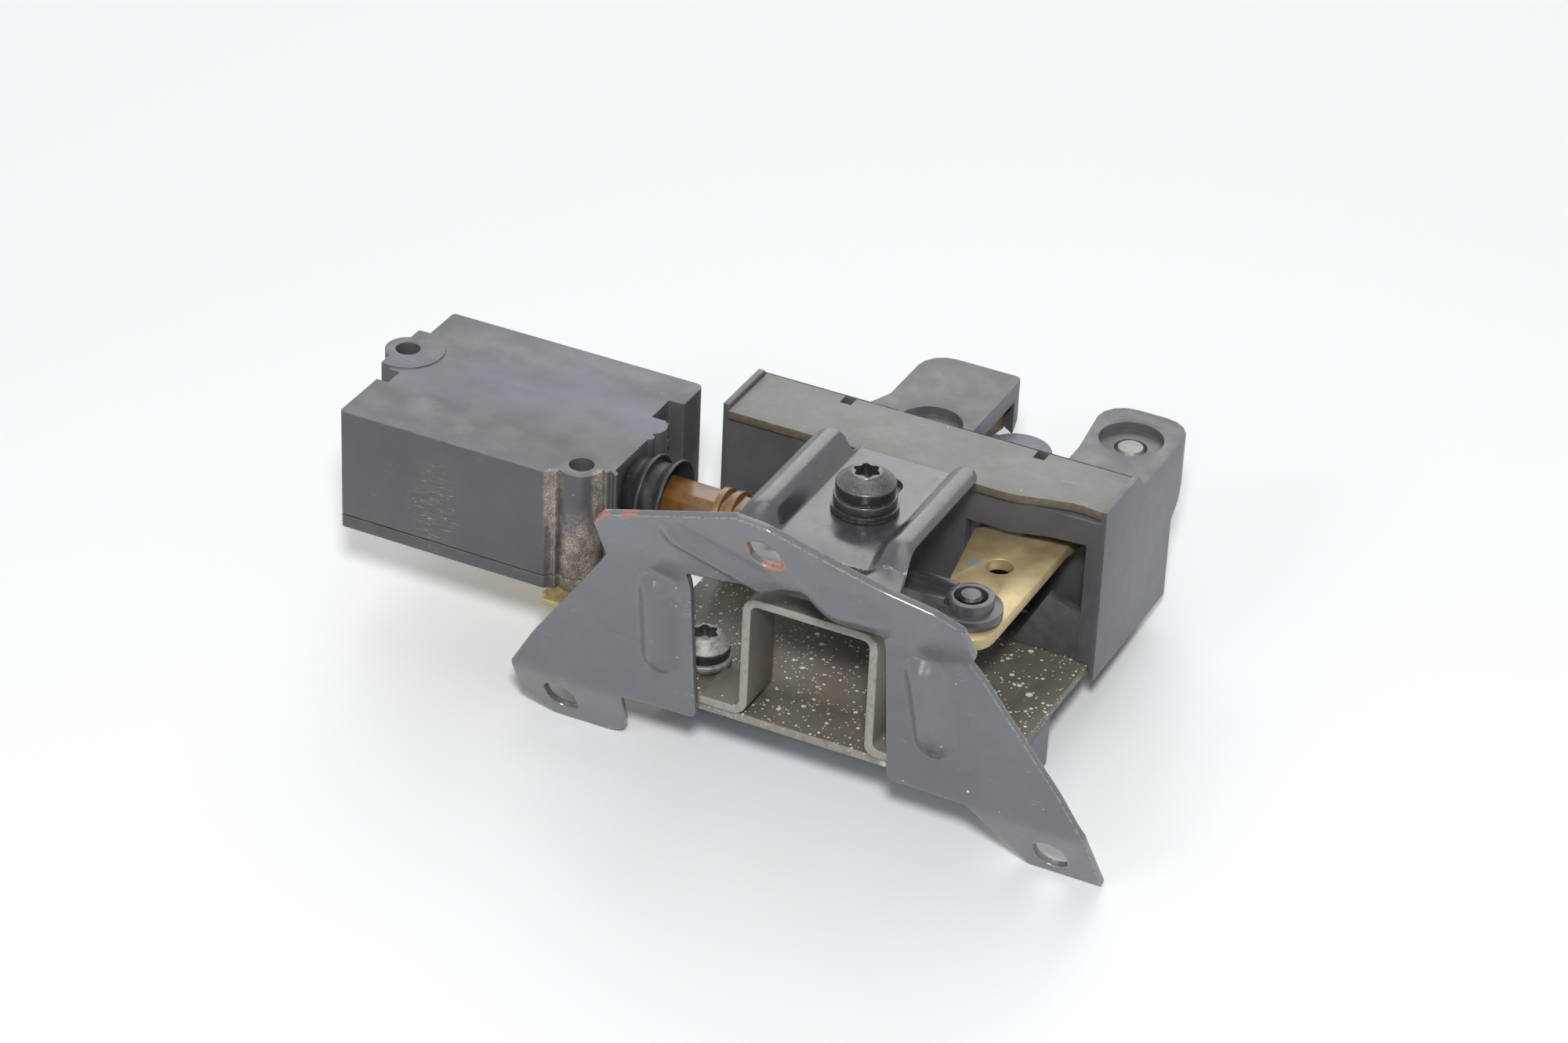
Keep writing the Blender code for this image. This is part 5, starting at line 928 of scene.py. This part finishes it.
def jacket_plastic():
    made = Shader("jacket_lavender", srgb(92, 92, 106), 0.36, 0.0, 0.5)
    made.vary(6 * MM, 0.82, 1.12)
    made.clouds(3 * MM, 0.5, 0.75, 0.5, srgb(84, 80, 82), 0.6)
    made.rubbed(0.4 * MM, 0.5, srgb(128, 128, 142), 0.4)
    made.grain(0.5 * MM, 0.012 * MM)
    return made.done()


def cover_plastic():
    made = Shader("cover_grey", srgb(102, 106, 113), 0.46, 0.0, 0.5)
    made.vary(14 * MM, 0.88, 1.08)
    made.clouds(6 * MM, 0.52, 0.76, 0.4, srgb(96, 90, 82), 0.6)
    made.specks(1.8 * MM, 0.08, 0.13, 0.7, srgb(190, 190, 186), 0.7)
    made.scratches(10 * MM, 0.5 * MM, 0.48, (0, 0, 10), 0.35, srgb(160, 160, 158))
    made.grain(0.5 * MM, 0.015 * MM)
    return made.done()


def bare_metal(name, colour, roughness, turn):
    """Bright steel, tin or brass with fine lines along one direction."""
    made = Shader(name, srgb(*colour), roughness, 0.8, 0.5)
    made.vary(5 * MM, 0.84, 1.08)
    brushed = made.noise(0.25 * MM, 2, 0.5, (0.06, 1, 1), turn)
    made.rough = made.ramp(brushed, 0.3, 0.7, roughness - 0.08, roughness + 0.1)
    made.clouds(3 * MM, 0.55, 0.75, 0.4, scaled(srgb(*colour), 0.5), 0.6)
    made.rubbed(0.3 * MM, 0.4, scaled(srgb(*colour), 1.25), 0.3)
    made.bump(brushed, 0.004 * MM)
    return made.done()


def natural_plastic():
    made = Shader("gear_natural", srgb(214, 211, 198), 0.38, 0.0, 0.5)
    made.vary(4 * MM, 0.9, 1.04)
    made.clouds(1.6 * MM, 0.55, 0.75, 0.4, srgb(176, 164, 128), 0.3, 4, 0.55)
    made.translucent(0.15, (1, 0.8, 0.6))
    made.grain(0.4 * MM, 0.006 * MM)
    return made.done()


def dress():
    """Give every node its finish, and the seen ones finer edges. Widths of edges are in millimetres."""
    mounting_bracket()
    channel_bracket()
    glossy, dusty = black_steel("screw_black", 0.12), black_steel("screw_dusty", 1.3)
    socket_screw("channel_screw", glossy)
    for node in ("plate_screw_left", "plate_screw_right"):
        socket_screw(node, dusty)
    boot()
    for node, finish, width in (
        ("top_plate", top_plate_finish(), 0.22),
        ("bottom_plate", base_plate_finish(), 0.22),
        ("hat_bracket", hat_finish(), 0.25),
        ("release_lever", chromate("lever_chromate", (182, 163, 120), (224, 190, 126)), 0.25),
        ("carrier_plate", chromate("carrier_gold", (156, 134, 78), (196, 166, 98)), 0.2),
        ("plunger", amber(), 0.25),
        ("lock_housing", housing_plastic(), 0.3),
        ("actuator_case", case_plastic("case_black", (74, 74, 78)), 0.3),
        ("actuator_lid", case_plastic("lid_black", (68, 68, 71)), 0.3),
        ("link_rod", link_plastic(), 0.2),
        ("claw", oiled_steel(), 0.3),
        ("claw_cover", jacket_plastic(), 0.4),
        ("lower_cover", cover_plastic(), 0.4),
    ):
        refined(node, finish, width * MM)
    steel = bare_metal("pin_satin", (128, 127, 123), 0.42, (0, 0, 0))
    wire = bare_metal("spring_wire", (152, 152, 150), 0.34, (0, 90, 0))
    natural = natural_plastic()
    tin = bare_metal("terminal_tin", (190, 168, 106), 0.34, (0, 0, 0))
    for finish, nodes in (
        (steel, ("claw_pin", "lever_pivot_pin", "actuator_screw_1", "actuator_screw_2", "actuator_screw_3")),
        (black_steel("pin_black", 0.0), ("lever_pin",)),
        (glossy, ("channel_washer",)),
        (bare_metal("nut_zinc", (138, 138, 132), 0.42, (0, 0, 30)), ("channel_nut",)),
        (wire, ("claw_spring", "lever_spring")),
        (bare_metal("motor_steel", (168, 168, 168), 0.34, (0, 0, 0)), ("motor",)),
        (natural, ("motor_pinion", "spindle_gear")),
        (link_plastic(), ("spindle_bearing",)),
        (tin, ("terminal_1", "terminal_2", "terminal_3")),
    ):
        for node in nodes:
            wear(NODES[node], finish)


def camera():
    yaw, pitch, roll = (math.radians(a) for a in (CAMERA_YAW, CAMERA_PITCH, CAMERA_ROLL))
    ahead = Vector((math.sin(yaw) * math.cos(pitch), math.cos(yaw) * math.cos(pitch), -math.sin(pitch)))
    level = Vector((math.cos(yaw), -math.sin(yaw), 0))
    down = ahead.cross(level)
    right = math.cos(roll) * level + math.sin(roll) * down
    lower = -math.sin(roll) * level + math.cos(roll) * down
    data = bpy.data.cameras.new("camera")
    data.lens, data.sensor_width = CAMERA_LENS, SENSOR
    data.clip_start, data.clip_end = 0.01, 50
    made = link(bpy.data.objects.new("camera", data))
    turn = Matrix((right, -lower, -ahead)).transposed().to_4x4()
    made.matrix_world = Matrix.Translation(CAMERA_PLACE) @ turn
    bpy.context.scene.camera = made


def floor():
    """Pale table that fades to white away from the lock."""
    mesh = bmesh.new()
    for x, y in ((-1, -1), (1, -1), (1, 1), (-1, 1)):
        height = FLOOR_Z + FLOOR_SLOPE * (y * FLOOR_REACH - FLOOR_Y)
        mesh.verts.new((x * FLOOR_REACH, y * FLOOR_REACH, height))
    mesh.faces.new(mesh.verts[:])
    made = mesh_object("table", mesh)
    cloth = Shader("table_white", TABLE, 0.6, 0, 0.2)
    glow = cloth.add("ShaderNodeEmission")
    glow.inputs["Color"].default_value = PALE
    far = cloth.add("ShaderNodeVectorMath", operation="LENGTH")
    cloth.put(far.inputs[0], cloth.place)
    mixer = cloth.add("ShaderNodeMixShader")
    cloth.put(mixer.inputs[0], cloth.ramp(far.outputs["Value"], FADE_START, FADE_END))
    cloth.put(mixer.inputs[1], cloth.shader.outputs[0])
    cloth.put(mixer.inputs[2], glow.outputs[0])
    output = next(n for n in cloth.tree.nodes if n.type == "OUTPUT_MATERIAL")
    cloth.put(output.inputs["Surface"], mixer.outputs[0])
    made.data.materials.append(cloth.done())


def lamp(name, place, aim, size, power):
    data = bpy.data.lights.new(name, "AREA")
    data.shape = "DISK"
    data.size = size
    data.energy = power
    made = link(bpy.data.objects.new(name, data))
    made.location = place
    made.rotation_mode = "QUATERNION"
    made.rotation_quaternion = (Vector(aim) - Vector(place)).to_track_quat("-Z", "Y")


def light():
    world = bpy.data.worlds.new("studio")
    bpy.context.scene.world = world
    world.use_nodes = True
    tree = world.node_tree
    back = tree.nodes["Background"]
    back.inputs["Color"].default_value = (1, 1, 1, 1)
    back.inputs["Strength"].default_value = WORLD_STRENGTH
    seen = tree.nodes.new("ShaderNodeBackground")
    seen.inputs["Color"].default_value = PALE
    seen.inputs["Strength"].default_value = 1.0
    path = tree.nodes.new("ShaderNodeLightPath")
    mixer = tree.nodes.new("ShaderNodeMixShader")
    shown = path.outputs["Is Camera Ray"]
    for kind in ("Is Glossy Ray", "Is Transmission Ray"):
        either = tree.nodes.new("ShaderNodeMath")
        either.operation = "MAXIMUM"
        tree.links.new(shown, either.inputs[0])
        tree.links.new(path.outputs[kind], either.inputs[1])
        shown = either.outputs[0]
    tree.links.new(shown, mixer.inputs[0])
    tree.links.new(back.outputs[0], mixer.inputs[1])
    tree.links.new(seen.outputs[0], mixer.inputs[2])
    tree.links.new(mixer.outputs[0], tree.nodes["World Output"].inputs[0])
    for settings in LAMPS:
        lamp(*settings)


bpy.context.scene.view_settings.view_transform = "Standard"
camera()
light()
floor()
dress()
